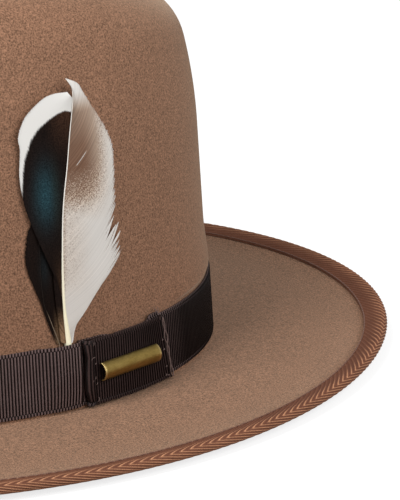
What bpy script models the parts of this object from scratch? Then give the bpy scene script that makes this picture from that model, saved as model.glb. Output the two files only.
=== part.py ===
"""A felt fedora hat with a grosgrain band, a flat keeper, two tucked feathers and a bound brim.

Metres, +Z up. The front of the hat faces -Y and the wearer's left side, with the trim, faces +X.
The origin is the middle of the hat, on the surface that the flat ring of the brim rests on.
Places along the band are distances round the felt from the middle of the left side, towards the
back of the hat. Levels are distances out from the outside of the felt.
"""
import math

import bmesh
import bpy
import numpy as np
from mathutils import Matrix, Vector

# Head opening, and the layers of the wall from the head outwards
HEAD_LENGTH = 0.1971
HEAD_WIDTH = 0.1652
SWEATBAND_THICKNESS = 0.0010
LINING_THICKNESS = 0.0004
FELT_THICKNESS = 0.0020
RIBBON_THICKNESS = 0.0007
CLEARANCE = 0.0003

# Brim, its folded binding and the seam thread
BRIM_LENGTH = 0.3346
BRIM_WIDTH = 0.2991
BRIM_FLAT = 0.0135
BRIM_CURL_RISE = 0.0032
BRIM_CURL_POWER = 5
BRIM_WAVE_RISE = 0.0014
BRIM_WAVE_ANGLE = 65.0
BRIM_WAVE_SPREAD = 35.0
BREAK_RADIUS = 0.0010
BINDING_WIDTH = 0.0073
BINDING_THICKNESS = 0.0005
BINDING_SEAM_INSET = 0.0005
THREAD_RADIUS = 0.00022

# Crown: leaning wall, rounded upper wall, ridge, crease and the two front pinches
CROWN_LEAN = 2.41
CROWN_ROUND_START = 0.0805
CROWN_ROUND_RADIUS = 0.1742
RIDGE_HEIGHT_SIDE = 0.142
RIDGE_HEIGHT_BACK = 0.126
RIDGE_HEIGHT_FRONT = 0.133
SHOULDER_RISE = 0.016
SHOULDER_RUN = 0.015
CREASE_HEIGHT = 0.108
CREASE_HALF_WIDTH = 0.005
PINCH_DEPTH = 0.024
PINCH_FORWARD = 0.054
PINCH_LENGTH = 0.026
PINCH_OVER_SWEATBAND = 0.005
PINCH_RISE = 0.074

# Ribbon band, the lap of its ends and the keeper over the lap
RIBBON_HEIGHT = 0.0232
LAP_RAMP = 0.0060
LAP_END_RISE = 0.0016
KEEPER_GAP = 0.0012
KEEPER_LENGTH = 0.0373
KEEPER_FRONT_FOLD = 0.0072
KEEPER_REAR_FOLD = 0.0016
KEEPER_STITCHES = 9
KEEPER_STITCH_SWING = 0.0008
KEEPER_STITCH_INSET = 0.0014

# Arched metal plate on the keeper
PLATE_LENGTH = 0.0264
PLATE_WIDTH = 0.0058
PLATE_RISE = 0.0022
PLATE_SHIFT = -0.0014
PLATE_WALL = 0.0005

# Feathers, tucked into a pocket behind the band
FEATHER_LEAN = 6.0
QUILL_DEPTH = 0.0152
VANE_THICKNESS = 0.0004
FRONT_QUILL_RADIUS = 0.0009
FRONT_TIP_RADIUS = 0.00025
REAR_QUILL_RADIUS = 0.00035
REAR_TIP_RADIUS = 0.00016
POCKET_FALL = 0.0022

# Outlines of the feathers: place along the band, and height over its top edge
FRONT_SHAFT = [(0.0164, 0.0008), (0.0156, 0.0128), (0.0158, 0.0263), (0.0168, 0.0423),
               (0.0192, 0.0583), (0.0222, 0.0758), (0.0237, 0.0848), (0.0212, 0.0913)]
FRONT_DARK_EDGE = [(0.0136, 0.0053), (0.0124, 0.0210), (0.0114, 0.0320), (0.0046, 0.0458),
                   (0.0020, 0.0570), (0.0020, 0.0730), (0.0060, 0.0816), (0.0170, 0.0869)]
FRONT_PALE_EDGE = [(0.0192, 0.0028), (0.0230, 0.0113), (0.0335, 0.0206), (0.0420, 0.0285),
                   (0.0403, 0.0450), (0.0403, 0.0620), (0.0350, 0.0760), (0.0265, 0.0884)]
REAR_SHAFT = [(0.0134, 0.0008), (0.0104, 0.0103), (0.0084, 0.0263), (0.0080, 0.0443)]
REAR_LEFT_EDGE = [(0.0122, 0.0008), (0.0074, 0.0123), (0.0024, 0.0303), (0.0058, 0.0458)]
REAR_RIGHT_EDGE = [(0.0148, 0.0028), (0.0134, 0.0173), (0.0118, 0.0323), (0.0096, 0.0468)]

# Sweatband with its reed, seam thread and bow, and the lining
SWEATBAND_HEIGHT = 0.0380
SWEATBAND_JOINT = 0.0008
SWEATBAND_SEAM_LIFT = 0.0022
REED_RADIUS = 0.0009
REED_LIFT = 0.0008
BOW_HALF_LENGTH = 0.0085
BOW_HALF_HEIGHT = 0.0040
BOW_WAIST = 0.0014
BOW_SWELL = 2.2
BOW_LIFT = 0.0135
BOW_THICKNESS = 0.0008
LINING_TUCK = 0.0330

# How finely the curved shapes are divided
COLUMNS = 48
WALL_STEPS = 7
SHOULDER_STEPS = 3
CREASE_STEPS = 5
FEATHER_STEPS = 11
TRIM_STEP = 0.0018

# Sizes that follow from the ones above
FULL_TURN = 2 * math.pi
HALF_TURN = math.pi
QUARTER_TURN = math.pi / 2
CROWN_TAPER = math.tan(math.radians(CROWN_LEAN))
LINING_LEVEL = -FELT_THICKNESS - CLEARANCE
SWEATBAND_LEVEL = LINING_LEVEL - LINING_THICKNESS - CLEARANCE
HEAD_LEVEL = SWEATBAND_LEVEL - SWEATBAND_THICKNESS
FELT_HALF_LENGTH = HEAD_LENGTH / 2 - HEAD_LEVEL
FELT_HALF_WIDTH = HEAD_WIDTH / 2 - HEAD_LEVEL
WALL_FOOT = FELT_THICKNESS + BREAK_RADIUS
BINDING_REACH = CLEARANCE + BINDING_THICKNESS
EDGE_SLOPE = BRIM_CURL_POWER * BRIM_CURL_RISE / (BRIM_LENGTH / 2 - FELT_HALF_LENGTH - BRIM_FLAT)
EDGE_LEAN = (FELT_THICKNESS + CLEARANCE) * math.sin(math.atan(EDGE_SLOPE))
EDGE_HALF_LENGTH = BRIM_LENGTH / 2 - BINDING_REACH - EDGE_LEAN
EDGE_HALF_WIDTH = BRIM_WIDTH / 2 - BINDING_REACH - EDGE_LEAN
RIBBON_BOTTOM = WALL_FOOT
RIBBON_TOP = RIBBON_BOTTOM + RIBBON_HEIGHT
RIBBON_LAYER = RIBBON_THICKNESS + CLEARANCE
QUILL_SLANT = QUILL_DEPTH * math.tan(math.radians(FEATHER_LEAN))
POCKET_DEPTH = 2 * FRONT_QUILL_RADIUS + CLEARANCE
POCKET_START = REAR_SHAFT[0][0] - REAR_QUILL_RADIUS - CLEARANCE
POCKET_END = FRONT_SHAFT[0][0] + QUILL_SLANT + FRONT_QUILL_RADIUS + CLEARANCE
REAR_VANE_LEVEL = CLEARANCE + REAR_QUILL_RADIUS
FRONT_VANE_LEVEL = 2 * REAR_VANE_LEVEL + VANE_THICKNESS / 2
KEEPER_START = POCKET_END + POCKET_FALL + KEEPER_GAP
KEEPER_END = KEEPER_START + KEEPER_LENGTH
KEEPER_INNER_LEVEL = CLEARANCE + RIBBON_LAYER + RIBBON_THICKNESS / 2
KEEPER_OUTER_LEVEL = KEEPER_INNER_LEVEL + RIBBON_LAYER
KEEPER_FACE = KEEPER_OUTER_LEVEL + RIBBON_THICKNESS / 2
LAP_START = KEEPER_START + KEEPER_FRONT_FOLD + CLEARANCE
BAND_UNDER_END = LAP_START + LAP_RAMP + 2 * CLEARANCE
BAND_OVER_END = KEEPER_END - KEEPER_REAR_FOLD - 2 * CLEARANCE
SWEATBAND_BOTTOM = REED_LIFT + 2 * REED_RADIUS + CLEARANCE
SWEATBAND_TOP = SWEATBAND_BOTTOM + SWEATBAND_HEIGHT
PINCH_LOW = SWEATBAND_TOP + PINCH_OVER_SWEATBAND
LINING_BOTTOM = SWEATBAND_TOP - LINING_TUCK


def smooth_step(value, low, high):
    """A smooth rise from 0 at low to 1 at high."""
    share = min(max((value - low) / (high - low), 0.0), 1.0)
    return share * share * (3.0 - 2.0 * share)


def oval(half_length, half_width, angle, height):
    """A point on a level oval: angle 0 is the wearer's left and a quarter turn is the back."""
    return Vector((half_width * math.cos(angle), half_length * math.sin(angle), height))


def arc_table():
    """Distances round the foot of the felt, and the angles where they fall."""
    angles = np.linspace(-HALF_TURN, 3 * HALF_TURN, 2881)
    speed = np.hypot(FELT_HALF_LENGTH * np.cos(angles), FELT_HALF_WIDTH * np.sin(angles))
    steps = (speed[1:] + speed[:-1]) / 2 * np.diff(angles)
    distances = np.concatenate([[0.0], np.cumsum(steps)])
    return distances - np.interp(0.0, angles, distances), angles


ARC_DISTANCES, ARC_ANGLES = arc_table()


def angle_at(place):
    """The angle at a place along the band."""
    return float(np.interp(place, ARC_DISTANCES, ARC_ANGLES))


def place_at(angle):
    """The place along the band at an angle."""
    return float(np.interp(angle, ARC_ANGLES, ARC_DISTANCES))


ONCE_ROUND = place_at(FULL_TURN)


def round_angles():
    """The angles of the columns of each piece that goes all round, starting at the back."""
    return [QUARTER_TURN + FULL_TURN * column / COLUMNS for column in range(COLUMNS)]


def wall_inset(height):
    """How far the wall of the crown has leaned in at a height."""
    rounded = max(0.0, height - CROWN_ROUND_START)
    return CROWN_TAPER * height + rounded * rounded / (2 * CROWN_ROUND_RADIUS)


def wall_point(angle, height, level):
    """A point on the lower wall of the crown, below the pinches."""
    reach = level - wall_inset(height)
    return oval(FELT_HALF_LENGTH + reach, FELT_HALF_WIDTH + reach, angle, height)


def feather_point(place, above, level):
    """A point on the straight sheet that the feathers lie in, at a height over the band."""
    height = RIBBON_TOP + above
    reach = level - CROWN_TAPER * height
    return oval(FELT_HALF_LENGTH + reach, FELT_HALF_WIDTH + reach, angle_at(place), height)


def ridge_height(angle):
    """Height of the ridge round the crease, lower at the back and the front than at the sides."""
    end = RIDGE_HEIGHT_BACK if math.sin(angle) > 0 else RIDGE_HEIGHT_FRONT
    return RIDGE_HEIGHT_SIDE + (end - RIDGE_HEIGHT_SIDE) * math.sin(angle) ** 2


def shoulder_height(angle):
    """Height where the wall starts to turn over into the ridge."""
    return ridge_height(angle) - SHOULDER_RISE


def crown_profile(zone, share, angle):
    """Inset and height in one zone of the crown: its wall, its shoulder or its crease."""
    top = shoulder_height(angle)
    if zone == "wall":
        height = WALL_FOOT + (top - WALL_FOOT) * share
        return wall_inset(height), height
    slope = CROWN_TAPER + max(0.0, top - CROWN_ROUND_START) / CROWN_ROUND_RADIUS
    lean = slope * SHOULDER_RISE
    if zone == "shoulder":
        turn = share * QUARTER_TURN
        over = lean * math.sin(turn) + (SHOULDER_RUN - lean) * (1 - math.cos(turn))
        return wall_inset(top) + over, top + SHOULDER_RISE * math.sin(turn)
    start = wall_inset(top) + SHOULDER_RUN
    inset = start + (FELT_HALF_WIDTH - CREASE_HALF_WIDTH - start) * share
    dip = (1 - math.cos(HALF_TURN * share)) / 2
    return inset, ridge_height(angle) + (CREASE_HEIGHT - ridge_height(angle)) * dip


def crown_surface(zone, share, angle):
    """A point on the outside of the creased and pinched crown."""
    inset, height = crown_profile(zone, share, angle)
    point = oval(FELT_HALF_LENGTH - inset, FELT_HALF_WIDTH - inset, angle, height)
    along = (point.y + PINCH_FORWARD) / PINCH_LENGTH
    push = PINCH_DEPTH * math.exp(-along * along) * smooth_step(height, PINCH_LOW, PINCH_LOW + PINCH_RISE)
    point.x -= push * point.x / FELT_HALF_WIDTH
    return point


def crown_point(zone, share, angle, level):
    """A point at a level from the outside of the crown, measured square to it."""
    step = 0.01
    around = crown_surface(zone, share, angle + step) - crown_surface(zone, share, angle - step)
    below = crown_surface(zone, max(0.0, share - step), angle)
    above = crown_surface(zone, min(1.0, share + step), angle)
    outward = around.cross(above - below).normalized()
    return crown_surface(zone, share, angle) + outward * level


def brim_span(angle):
    """The edge of the felt brim, the unit direction in from it, and the width of the brim."""
    edge = oval(EDGE_HALF_LENGTH, EDGE_HALF_WIDTH, angle, 0.0)
    across = wall_point(angle, FELT_THICKNESS, BREAK_RADIUS) - edge
    across.z = 0.0
    return edge, across.normalized(), across.length


def curl_rise(angle):
    """Height of the brim's curl, which waves up a little at the wearer's left and to the rear."""
    away = (angle - math.radians(BRIM_WAVE_ANGLE) + HALF_TURN) % FULL_TURN - HALF_TURN
    wave = away / math.radians(BRIM_WAVE_SPREAD)
    return BRIM_CURL_RISE + BRIM_WAVE_RISE * math.exp(-wave * wave)


def brim_point(angle, inward, lift):
    """A point at a lift square to the top of the brim, at a distance in from the felt's edge."""
    edge, direction, width = brim_span(angle)
    curl_length = width - BRIM_FLAT
    curl = min(max(0.0, 1.0 - inward / curl_length), 1.0)
    rise = curl_rise(angle)
    slope = BRIM_CURL_POWER * rise * curl ** (BRIM_CURL_POWER - 1) / curl_length
    upward = (direction * slope + Vector((0.0, 0.0, 1.0))).normalized()
    top = Vector((0.0, 0.0, FELT_THICKNESS + rise * curl ** BRIM_CURL_POWER))
    return edge + direction * inward + top + upward * lift


def material(name, colour, roughness, metallic=0.0):
    """A plain Principled finish."""
    finish = bpy.data.materials.new(name)
    finish.use_nodes = True
    shader = finish.node_tree.nodes["Principled BSDF"]
    shader.inputs["Base Color"].default_value = (*colour, 1.0)
    shader.inputs["Roughness"].default_value = roughness
    shader.inputs["Metallic"].default_value = metallic
    finish.diffuse_color = (*colour, 1.0)
    return finish


def empty(name, location, parent=None):
    """A frame that pieces hang from."""
    frame = bpy.data.objects.new(name, None)
    frame.location = location
    frame.parent = parent
    PARTS.objects.link(frame)
    return frame


def add(name, data, finish, parent):
    """Add a named piece under its frame, with its points counted from the frame's place."""
    piece = bpy.data.objects.new(name, data)
    PARTS.objects.link(piece)
    data.materials.append(finish)
    data.transform(Matrix.Translation(-parent.location))
    piece.parent = parent
    return piece


def loft(rows, closed, cap):
    """A surface through rows of points, with the last row filled in where it has a cap."""
    mesh = bpy.data.meshes.new("surface")
    build = bmesh.new()
    grid = [[build.verts.new(point) for point in row] for row in rows]
    columns = len(grid[0])
    for lower, upper in zip(grid, grid[1:]):
        for column in range(columns if closed else columns - 1):
            after = (column + 1) % columns
            build.faces.new((lower[column], lower[after], upper[after], upper[column]))
    if cap:
        build.faces.new(grid[-1])
    build.to_mesh(mesh)
    build.free()
    mesh.shade_smooth()
    mesh.set_sharp_from_angle(angle=math.radians(50))
    return mesh


def shell(name, rows, thickness, side, finish, parent, closed=False, cap=False):
    """A piece of even thickness: side is 1 for outwards, -1 for inwards and 0 for both ways."""
    piece = add(name, loft(rows, closed, cap), finish, parent)
    solid = piece.modifiers.new("thickness", "SOLIDIFY")
    solid.thickness = thickness
    solid.offset = side
    solid.use_even_offset = True
    solid.use_quality_normals = True
    return piece


def tube(name, points, radii, finish, parent, closed=False, resolution=2):
    """A round thread, cord or quill through points."""
    curve = bpy.data.curves.new(name, "CURVE")
    curve.dimensions = "3D"
    curve.bevel_depth = max(radii)
    curve.bevel_resolution = resolution
    curve.use_fill_caps = not closed
    spline = curve.splines.new("POLY")
    spline.points.add(len(points) - 1)
    for node, point, radius in zip(spline.points, points, radii):
        node.co = (*point, 1.0)
        node.radius = radius / max(radii)
    spline.use_cyclic_u = closed
    return add(name, curve, finish, parent)


def ring(name, points, radius, finish, parent, resolution=0):
    """A closed thread or cord round the hat."""
    return tube(name, points, [radius] * len(points), finish, parent, True, resolution)


def curve_through(points, share):
    """A place on a smooth curve through a few points, as (along, above)."""
    spans = len(points) - 1
    span = min(int(share * spans), spans - 1)
    part = share * spans - span
    before = points[max(span - 1, 0)]
    after = points[min(span + 2, spans)]
    square, cube = part ** 2, part ** 3
    place = []
    for axis in range(2):
        first, second = points[span][axis], points[span + 1][axis]
        leave, arrive = (second - before[axis]) / 2, (after[axis] - first) / 2
        place.append(first * (2 * cube - 3 * square + 1) + leave * (cube - 2 * square + part)
                     + second * (3 * square - 2 * cube) + arrive * (cube - square))
    return place


def top_stations():
    """The rows of the crown over its wall, shared by the felt and the lining under it."""
    stations = [("shoulder", (step + 1) / SHOULDER_STEPS) for step in range(SHOULDER_STEPS)]
    return stations + [("crease", (step + 1) / CREASE_STEPS) for step in range(CREASE_STEPS)]


def make_felt(parent):
    """The felt body: a curled brim and a creased crown, blocked from one piece."""
    angles = round_angles()
    columns = []
    for angle in angles:
        width = brim_span(angle)[2]
        curl = width - BRIM_FLAT
        inward = [0.0, BINDING_WIDTH / 2, BINDING_WIDTH, 2 * BINDING_WIDTH,
                  BINDING_WIDTH + curl / 2, curl, curl + BRIM_FLAT / 3, curl + 2 * BRIM_FLAT / 3]
        columns.append([brim_point(angle, distance, 0.0) for distance in inward])
    rows = [list(row) for row in zip(*columns)]
    for turn in (0.0, QUARTER_TURN / 3, 2 * QUARTER_TURN / 3):
        level = BREAK_RADIUS * (1 - math.sin(turn))
        height = FELT_THICKNESS + BREAK_RADIUS * (1 - math.cos(turn))
        rows.append([wall_point(angle, height, level) for angle in angles])
    walls = [("wall", step / WALL_STEPS) for step in range(WALL_STEPS + 1)]
    for zone, share in walls + top_stations():
        rows.append([crown_surface(zone, share, angle) for angle in angles])
    shell("felt_body", rows, FELT_THICKNESS, -1, FELT, parent, closed=True, cap=True)


def make_binding(parent):
    """The tape folded over the edge of the brim, with the two threads of its seam."""
    angles = round_angles()
    under = -FELT_THICKNESS - CLEARANCE
    section = [(BINDING_WIDTH, under), (BINDING_WIDTH / 2, under), (0.0, under),
               (-CLEARANCE, -FELT_THICKNESS), (-CLEARANCE, 0.0), (0.0, CLEARANCE),
               (BINDING_WIDTH / 2, CLEARANCE), (BINDING_WIDTH, CLEARANCE)]
    rows = [[brim_point(angle, inward, lift) for angle in angles] for inward, lift in section]
    shell("brim_binding", rows, BINDING_THICKNESS, 1, TAPE, parent, closed=True)
    seam = BINDING_WIDTH - BINDING_SEAM_INSET
    over = BINDING_REACH + CLEARANCE + THREAD_RADIUS
    for name, lift in (("binding_top_thread", over), ("binding_bobbin_thread", -FELT_THICKNESS - over)):
        points = [brim_point(angle, seam, lift) for angle in angles]
        ring(name, points, THREAD_RADIUS, TAPE_THREAD, parent)


def pocket(place):
    """How far the band stands out over the quills at a place along it."""
    outside = max(POCKET_START - place, place - POCKET_END)
    return POCKET_DEPTH * (1.0 - smooth_step(outside, 0.0, POCKET_FALL))


def band_places():
    """Places along the band from its hidden end, once round, to the end that laps over it."""
    fine_start = ONCE_ROUND + POCKET_START - 2 * POCKET_FALL
    columns = sorted(place_at(angle % FULL_TURN) for angle in round_angles()) + [ONCE_ROUND]
    coarse = [place for place in columns if BAND_UNDER_END + TRIM_STEP < place < fine_start - TRIM_STEP]
    fine_length = ONCE_ROUND + BAND_OVER_END - fine_start
    count = math.ceil(fine_length / TRIM_STEP)
    fine = [fine_start + fine_length * step / count for step in range(count + 1)]
    return [BAND_UNDER_END] + coarse + fine


def make_band(parent):
    """The ribbon, wound once round the crown with its end lapped over its start."""
    ramp_start = ONCE_ROUND + LAP_START
    ramp_end = ramp_start + LAP_RAMP
    rows = []
    for share, swell in ((0.0, 0.3), (0.35, 1.0), (1.0, 1.0)):
        row = []
        for place in band_places():
            lap = smooth_step(place, ramp_start, ramp_end)
            rise = LAP_END_RISE * smooth_step(place, ramp_end, ONCE_ROUND + BAND_OVER_END)
            level = CLEARANCE + lap * RIBBON_LAYER + swell * pocket(place - ONCE_ROUND)
            row.append(wall_point(angle_at(place), RIBBON_BOTTOM + share * RIBBON_HEIGHT + rise, level))
        rows.append(row)
    shell("ribbon_band", rows, RIBBON_THICKNESS, 1, RIBBON, parent)


def keeper_path():
    """The keeper seen from above, from one folded end to the other, as (place, level)."""
    turn = RIBBON_LAYER / 2
    turn_level = KEEPER_INNER_LEVEL + turn
    face_length = KEEPER_LENGTH - 2 * turn
    count = math.ceil(face_length / (2 * TRIM_STEP))
    path = [(KEEPER_START + KEEPER_FRONT_FOLD, KEEPER_INNER_LEVEL),
            (KEEPER_START + KEEPER_FRONT_FOLD / 2, KEEPER_INNER_LEVEL),
            (KEEPER_START + turn, KEEPER_INNER_LEVEL),
            (KEEPER_START, turn_level)]
    path += [(KEEPER_START + turn + face_length * step / count, KEEPER_OUTER_LEVEL)
             for step in range(count + 1)]
    path += [(KEEPER_END, turn_level),
             (KEEPER_END - turn, KEEPER_INNER_LEVEL),
             (KEEPER_END - KEEPER_REAR_FOLD, KEEPER_INNER_LEVEL)]
    return path


def make_keeper(parent):
    """The short ribbon laid over the lap, with both ends folded under and sewn down."""
    rows = []
    for height in (RIBBON_BOTTOM, RIBBON_TOP):
        rows.append([wall_point(angle_at(place), height, level) for place, level in keeper_path()])
    shell("keeper", rows, RIBBON_THICKNESS, 0, KEEPER_RIBBON, parent)
    level = KEEPER_FACE + CLEARANCE + THREAD_RADIUS
    seams = (("keeper_thread_front", KEEPER_START + KEEPER_STITCH_INSET),
             ("keeper_thread_rear", KEEPER_END - KEEPER_STITCH_INSET))
    turns = 2 * KEEPER_STITCHES
    for name, middle in seams:
        points = []
        for step in range(turns + 1):
            place = middle + KEEPER_STITCH_SWING * (1 if step % 2 else -1)
            height = RIBBON_BOTTOM + RIBBON_HEIGHT * (step + 1) / (turns + 2)
            points.append(wall_point(angle_at(place), height, level))
        tube(name, points, [THREAD_RADIUS] * len(points), RIBBON_THREAD, parent, resolution=1)


def make_plate(parent):
    """The bare arched metal bar near the middle of the keeper, straight and open at its ends."""
    angle = angle_at(KEEPER_START + KEEPER_LENGTH / 2 + PLATE_SHIFT)
    height = RIBBON_BOTTOM + RIBBON_HEIGHT / 2
    level = KEEPER_FACE + CLEARANCE
    middle = wall_point(angle, height, level)
    along = (wall_point(angle + 0.01, height, level) - middle).normalized()
    upward = (wall_point(angle, height + PLATE_WIDTH, level) - middle).normalized()
    outward = along.cross(upward)
    radius = PLATE_WIDTH ** 2 / (8 * PLATE_RISE) + PLATE_RISE / 2
    half_arch = math.atan2(PLATE_WIDTH / 2, radius - PLATE_RISE)
    steps = 10
    rows = []
    for step in range(steps + 1):
        turn = half_arch * (2 * step / steps - 1)
        arch = upward * (radius * math.sin(turn)) + outward * (radius * math.cos(turn) - radius + PLATE_RISE)
        rows.append([middle + arch + along * (PLATE_LENGTH * share) for share in (-0.5, 0.0, 0.5)])
    shell("trim_plate", rows, PLATE_WALL, 1, PLATE_METAL, parent)


class Feather:
    """One feather: a tapering shaft with a vane on each side, sliding in the pocket of the band."""

    def __init__(self, name, shaft, quill_radius, tip_radius, vane_level, parent):
        self.name = name
        self.shaft = shaft
        self.quill_radius = quill_radius
        self.tip_radius = tip_radius
        self.vane_level = vane_level
        self.shaft_level = CLEARANCE + quill_radius
        self.quill_end = (shaft[0][0] + QUILL_SLANT, shaft[0][1] - QUILL_DEPTH)
        self.frame = empty(name + "_slide", feather_point(*self.quill_end, self.shaft_level), parent)

    def radius(self, share):
        """Radius of the shaft, from the band to the tip."""
        return self.quill_radius + (self.tip_radius - self.quill_radius) * share

    def make_quill(self):
        """The shaft, from its end in the pocket to its tip."""
        shares = [step / FEATHER_STEPS for step in range(FEATHER_STEPS + 1)]
        places = [self.quill_end] + [curve_through(self.shaft, share) for share in shares]
        points = [feather_point(along, above, self.shaft_level) for along, above in places]
        radii = [self.quill_radius] + [self.radius(share) for share in shares]
        tube(self.name + "_quill", points, radii, QUILL, self.frame, resolution=1)

    def make_vane(self, side_name, edge, finish):
        """The vane between the shaft and an outer edge on one side of it."""
        side = 1 if edge[1][0] > self.shaft[1][0] else -1
        rows = []
        for step in range(1, FEATHER_STEPS):
            share = step / FEATHER_STEPS
            along, above = curve_through(self.shaft, share)
            root = (along + side * (self.radius(share) + CLEARANCE), above)
            tip = curve_through(edge, share)
            row = []
            for out in (0.0, 0.5, 1.0):
                row.append(feather_point(root[0] + (tip[0] - root[0]) * out,
                                         root[1] + (tip[1] - root[1]) * out, self.vane_level))
            rows.append(row[::side])
        shell(f"{self.name}_{side_name}_vane", rows, VANE_THICKNESS, 0, finish, self.frame)


def make_feathers(parent):
    """The two feathers, each free to slide up out of the pocket behind the band."""
    front = Feather("front_feather", FRONT_SHAFT, FRONT_QUILL_RADIUS, FRONT_TIP_RADIUS,
                    FRONT_VANE_LEVEL, parent)
    front.make_quill()
    front.make_vane("dark", FRONT_DARK_EDGE, DARK_VANE)
    front.make_vane("pale", FRONT_PALE_EDGE, PALE_VANE)
    rear = Feather("rear_feather", REAR_SHAFT, REAR_QUILL_RADIUS, REAR_TIP_RADIUS,
                   REAR_VANE_LEVEL, parent)
    rear.make_quill()
    rear.make_vane("left", REAR_LEFT_EDGE, DARK_VANE)
    rear.make_vane("right", REAR_RIGHT_EDGE, DARK_VANE)


def make_sweatband(parent):
    """The leather band against the head, with its ends meeting at the back, its reed and thread."""
    half_gap = SWEATBAND_JOINT / 2 / FELT_HALF_WIDTH
    joint = [QUARTER_TURN + half_gap, QUARTER_TURN + FULL_TURN - half_gap]
    angles = [joint[0]] + round_angles()[1:] + [joint[1]]
    rows = [[wall_point(angle, height, SWEATBAND_LEVEL) for angle in angles]
            for height in (SWEATBAND_BOTTOM, SWEATBAND_TOP)]
    shell("sweatband", rows, SWEATBAND_THICKNESS, -1, LEATHER, parent)
    reed_level = -FELT_THICKNESS - CLEARANCE - REED_RADIUS
    reed = [wall_point(angle, REED_LIFT + REED_RADIUS, reed_level) for angle in round_angles()]
    ring("sweatband_reed", reed, REED_RADIUS, REED, parent, resolution=1)
    seam_level = HEAD_LEVEL - CLEARANCE - THREAD_RADIUS
    seam_height = SWEATBAND_BOTTOM + SWEATBAND_SEAM_LIFT
    seam = [wall_point(angle, seam_height, seam_level) for angle in round_angles()]
    ring("sweatband_thread", seam, THREAD_RADIUS, LEATHER_THREAD, parent)


def make_bow(parent):
    """The small flat bow sewn over the joint of the sweatband."""
    steps = 8
    lower, upper = [], []
    for step in range(steps + 1):
        share = 2 * step / steps - 1
        angle = angle_at(place_at(QUARTER_TURN) + share * BOW_HALF_LENGTH)
        half = BOW_WAIST + (BOW_HALF_HEIGHT - BOW_WAIST) * math.sin(abs(share) * BOW_SWELL)
        middle = SWEATBAND_BOTTOM + BOW_LIFT
        lower.append(wall_point(angle, middle - half, HEAD_LEVEL - CLEARANCE))
        upper.append(wall_point(angle, middle + half, HEAD_LEVEL - CLEARANCE))
    shell("sweatband_bow", [lower, upper], BOW_THICKNESS, -1, BOW, parent)


def make_lining(parent):
    """The satin lining: a strip round the side and a tip that follows the crease."""
    angles = round_angles()
    seam = 1.0 - 1.0 / WALL_STEPS
    seam_gap = CLEARANCE / (RIDGE_HEIGHT_SIDE - SHOULDER_RISE)
    shares = [step / WALL_STEPS for step in range(1, WALL_STEPS - 1)] + [seam - seam_gap]
    foot = []
    for angle in angles:
        share = (LINING_BOTTOM - WALL_FOOT) / (shoulder_height(angle) - WALL_FOOT)
        foot.append(crown_point("wall", share, angle, LINING_LEVEL))
    side = [foot] + [[crown_point("wall", share, angle, LINING_LEVEL) for angle in angles]
                     for share in shares]
    shell("lining_side", side, LINING_THICKNESS, -1, SATIN, parent, closed=True)
    stations = [("wall", seam), ("wall", 1.0)] + top_stations()
    tip = [[crown_point(zone, share, angle, LINING_LEVEL) for angle in angles] for zone, share in stations]
    shell("lining_tip", tip, LINING_THICKNESS, -1, TIP_SATIN, parent, closed=True, cap=True)


for leftover in list(bpy.data.objects):
    bpy.data.objects.remove(leftover, do_unlink=True)
PARTS = bpy.data.collections.new("fedora_hat")
bpy.context.scene.collection.children.link(PARTS)

FELT = material("fur_felt", (0.290, 0.172, 0.108), 0.95)
TAPE = material("binding_tape", (0.230, 0.095, 0.048), 0.75)
TAPE_THREAD = material("binding_thread", (0.120, 0.050, 0.028), 0.80)
RIBBON = material("grosgrain_ribbon", (0.045, 0.026, 0.024), 0.60)
KEEPER_RIBBON = material("keeper_ribbon", (0.036, 0.021, 0.020), 0.62)
RIBBON_THREAD = material("ribbon_thread", (0.110, 0.065, 0.050), 0.80)
PLATE_METAL = material("aged_brass", (0.500, 0.340, 0.110), 0.38, 1.0)
QUILL = material("feather_quill", (0.760, 0.660, 0.480), 0.45)
DARK_VANE = material("feather_dark", (0.014, 0.020, 0.026), 0.50)
PALE_VANE = material("feather_pale", (0.640, 0.600, 0.560), 0.75)
LEATHER = material("sweatband_leather", (0.130, 0.060, 0.030), 0.55)
LEATHER_THREAD = material("leather_thread", (0.250, 0.160, 0.100), 0.80)
REED = material("reed_tape", (0.060, 0.036, 0.028), 0.70)
BOW = material("bow_ribbon", (0.045, 0.026, 0.024), 0.55)
SATIN = material("lining_satin", (0.330, 0.220, 0.130), 0.40)
TIP_SATIN = material("lining_tip_satin", (0.360, 0.240, 0.145), 0.40)

ROOT = empty("fedora_frame", (0.0, 0.0, 0.0))
make_felt(ROOT)
make_binding(ROOT)
make_band(ROOT)
make_keeper(ROOT)
make_plate(ROOT)
make_feathers(ROOT)
make_sweatband(ROOT)
make_bow(ROOT)
make_lining(ROOT)
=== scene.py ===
"""Looks of a felt fedora hat: napped felt, grosgrain band and keeper, brass bar, feathers and bound brim.

Metres, in the frame of the solids: +Z up, the front of the hat towards -Y, its trim towards +X.
Places along the band are distances round the felt from the middle of the left side, towards the
back of the hat. Levels are distances out from the outside of the felt.
"""

import math

import bmesh
import bpy
import numpy as np
from mathutils import Matrix, Vector


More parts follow.
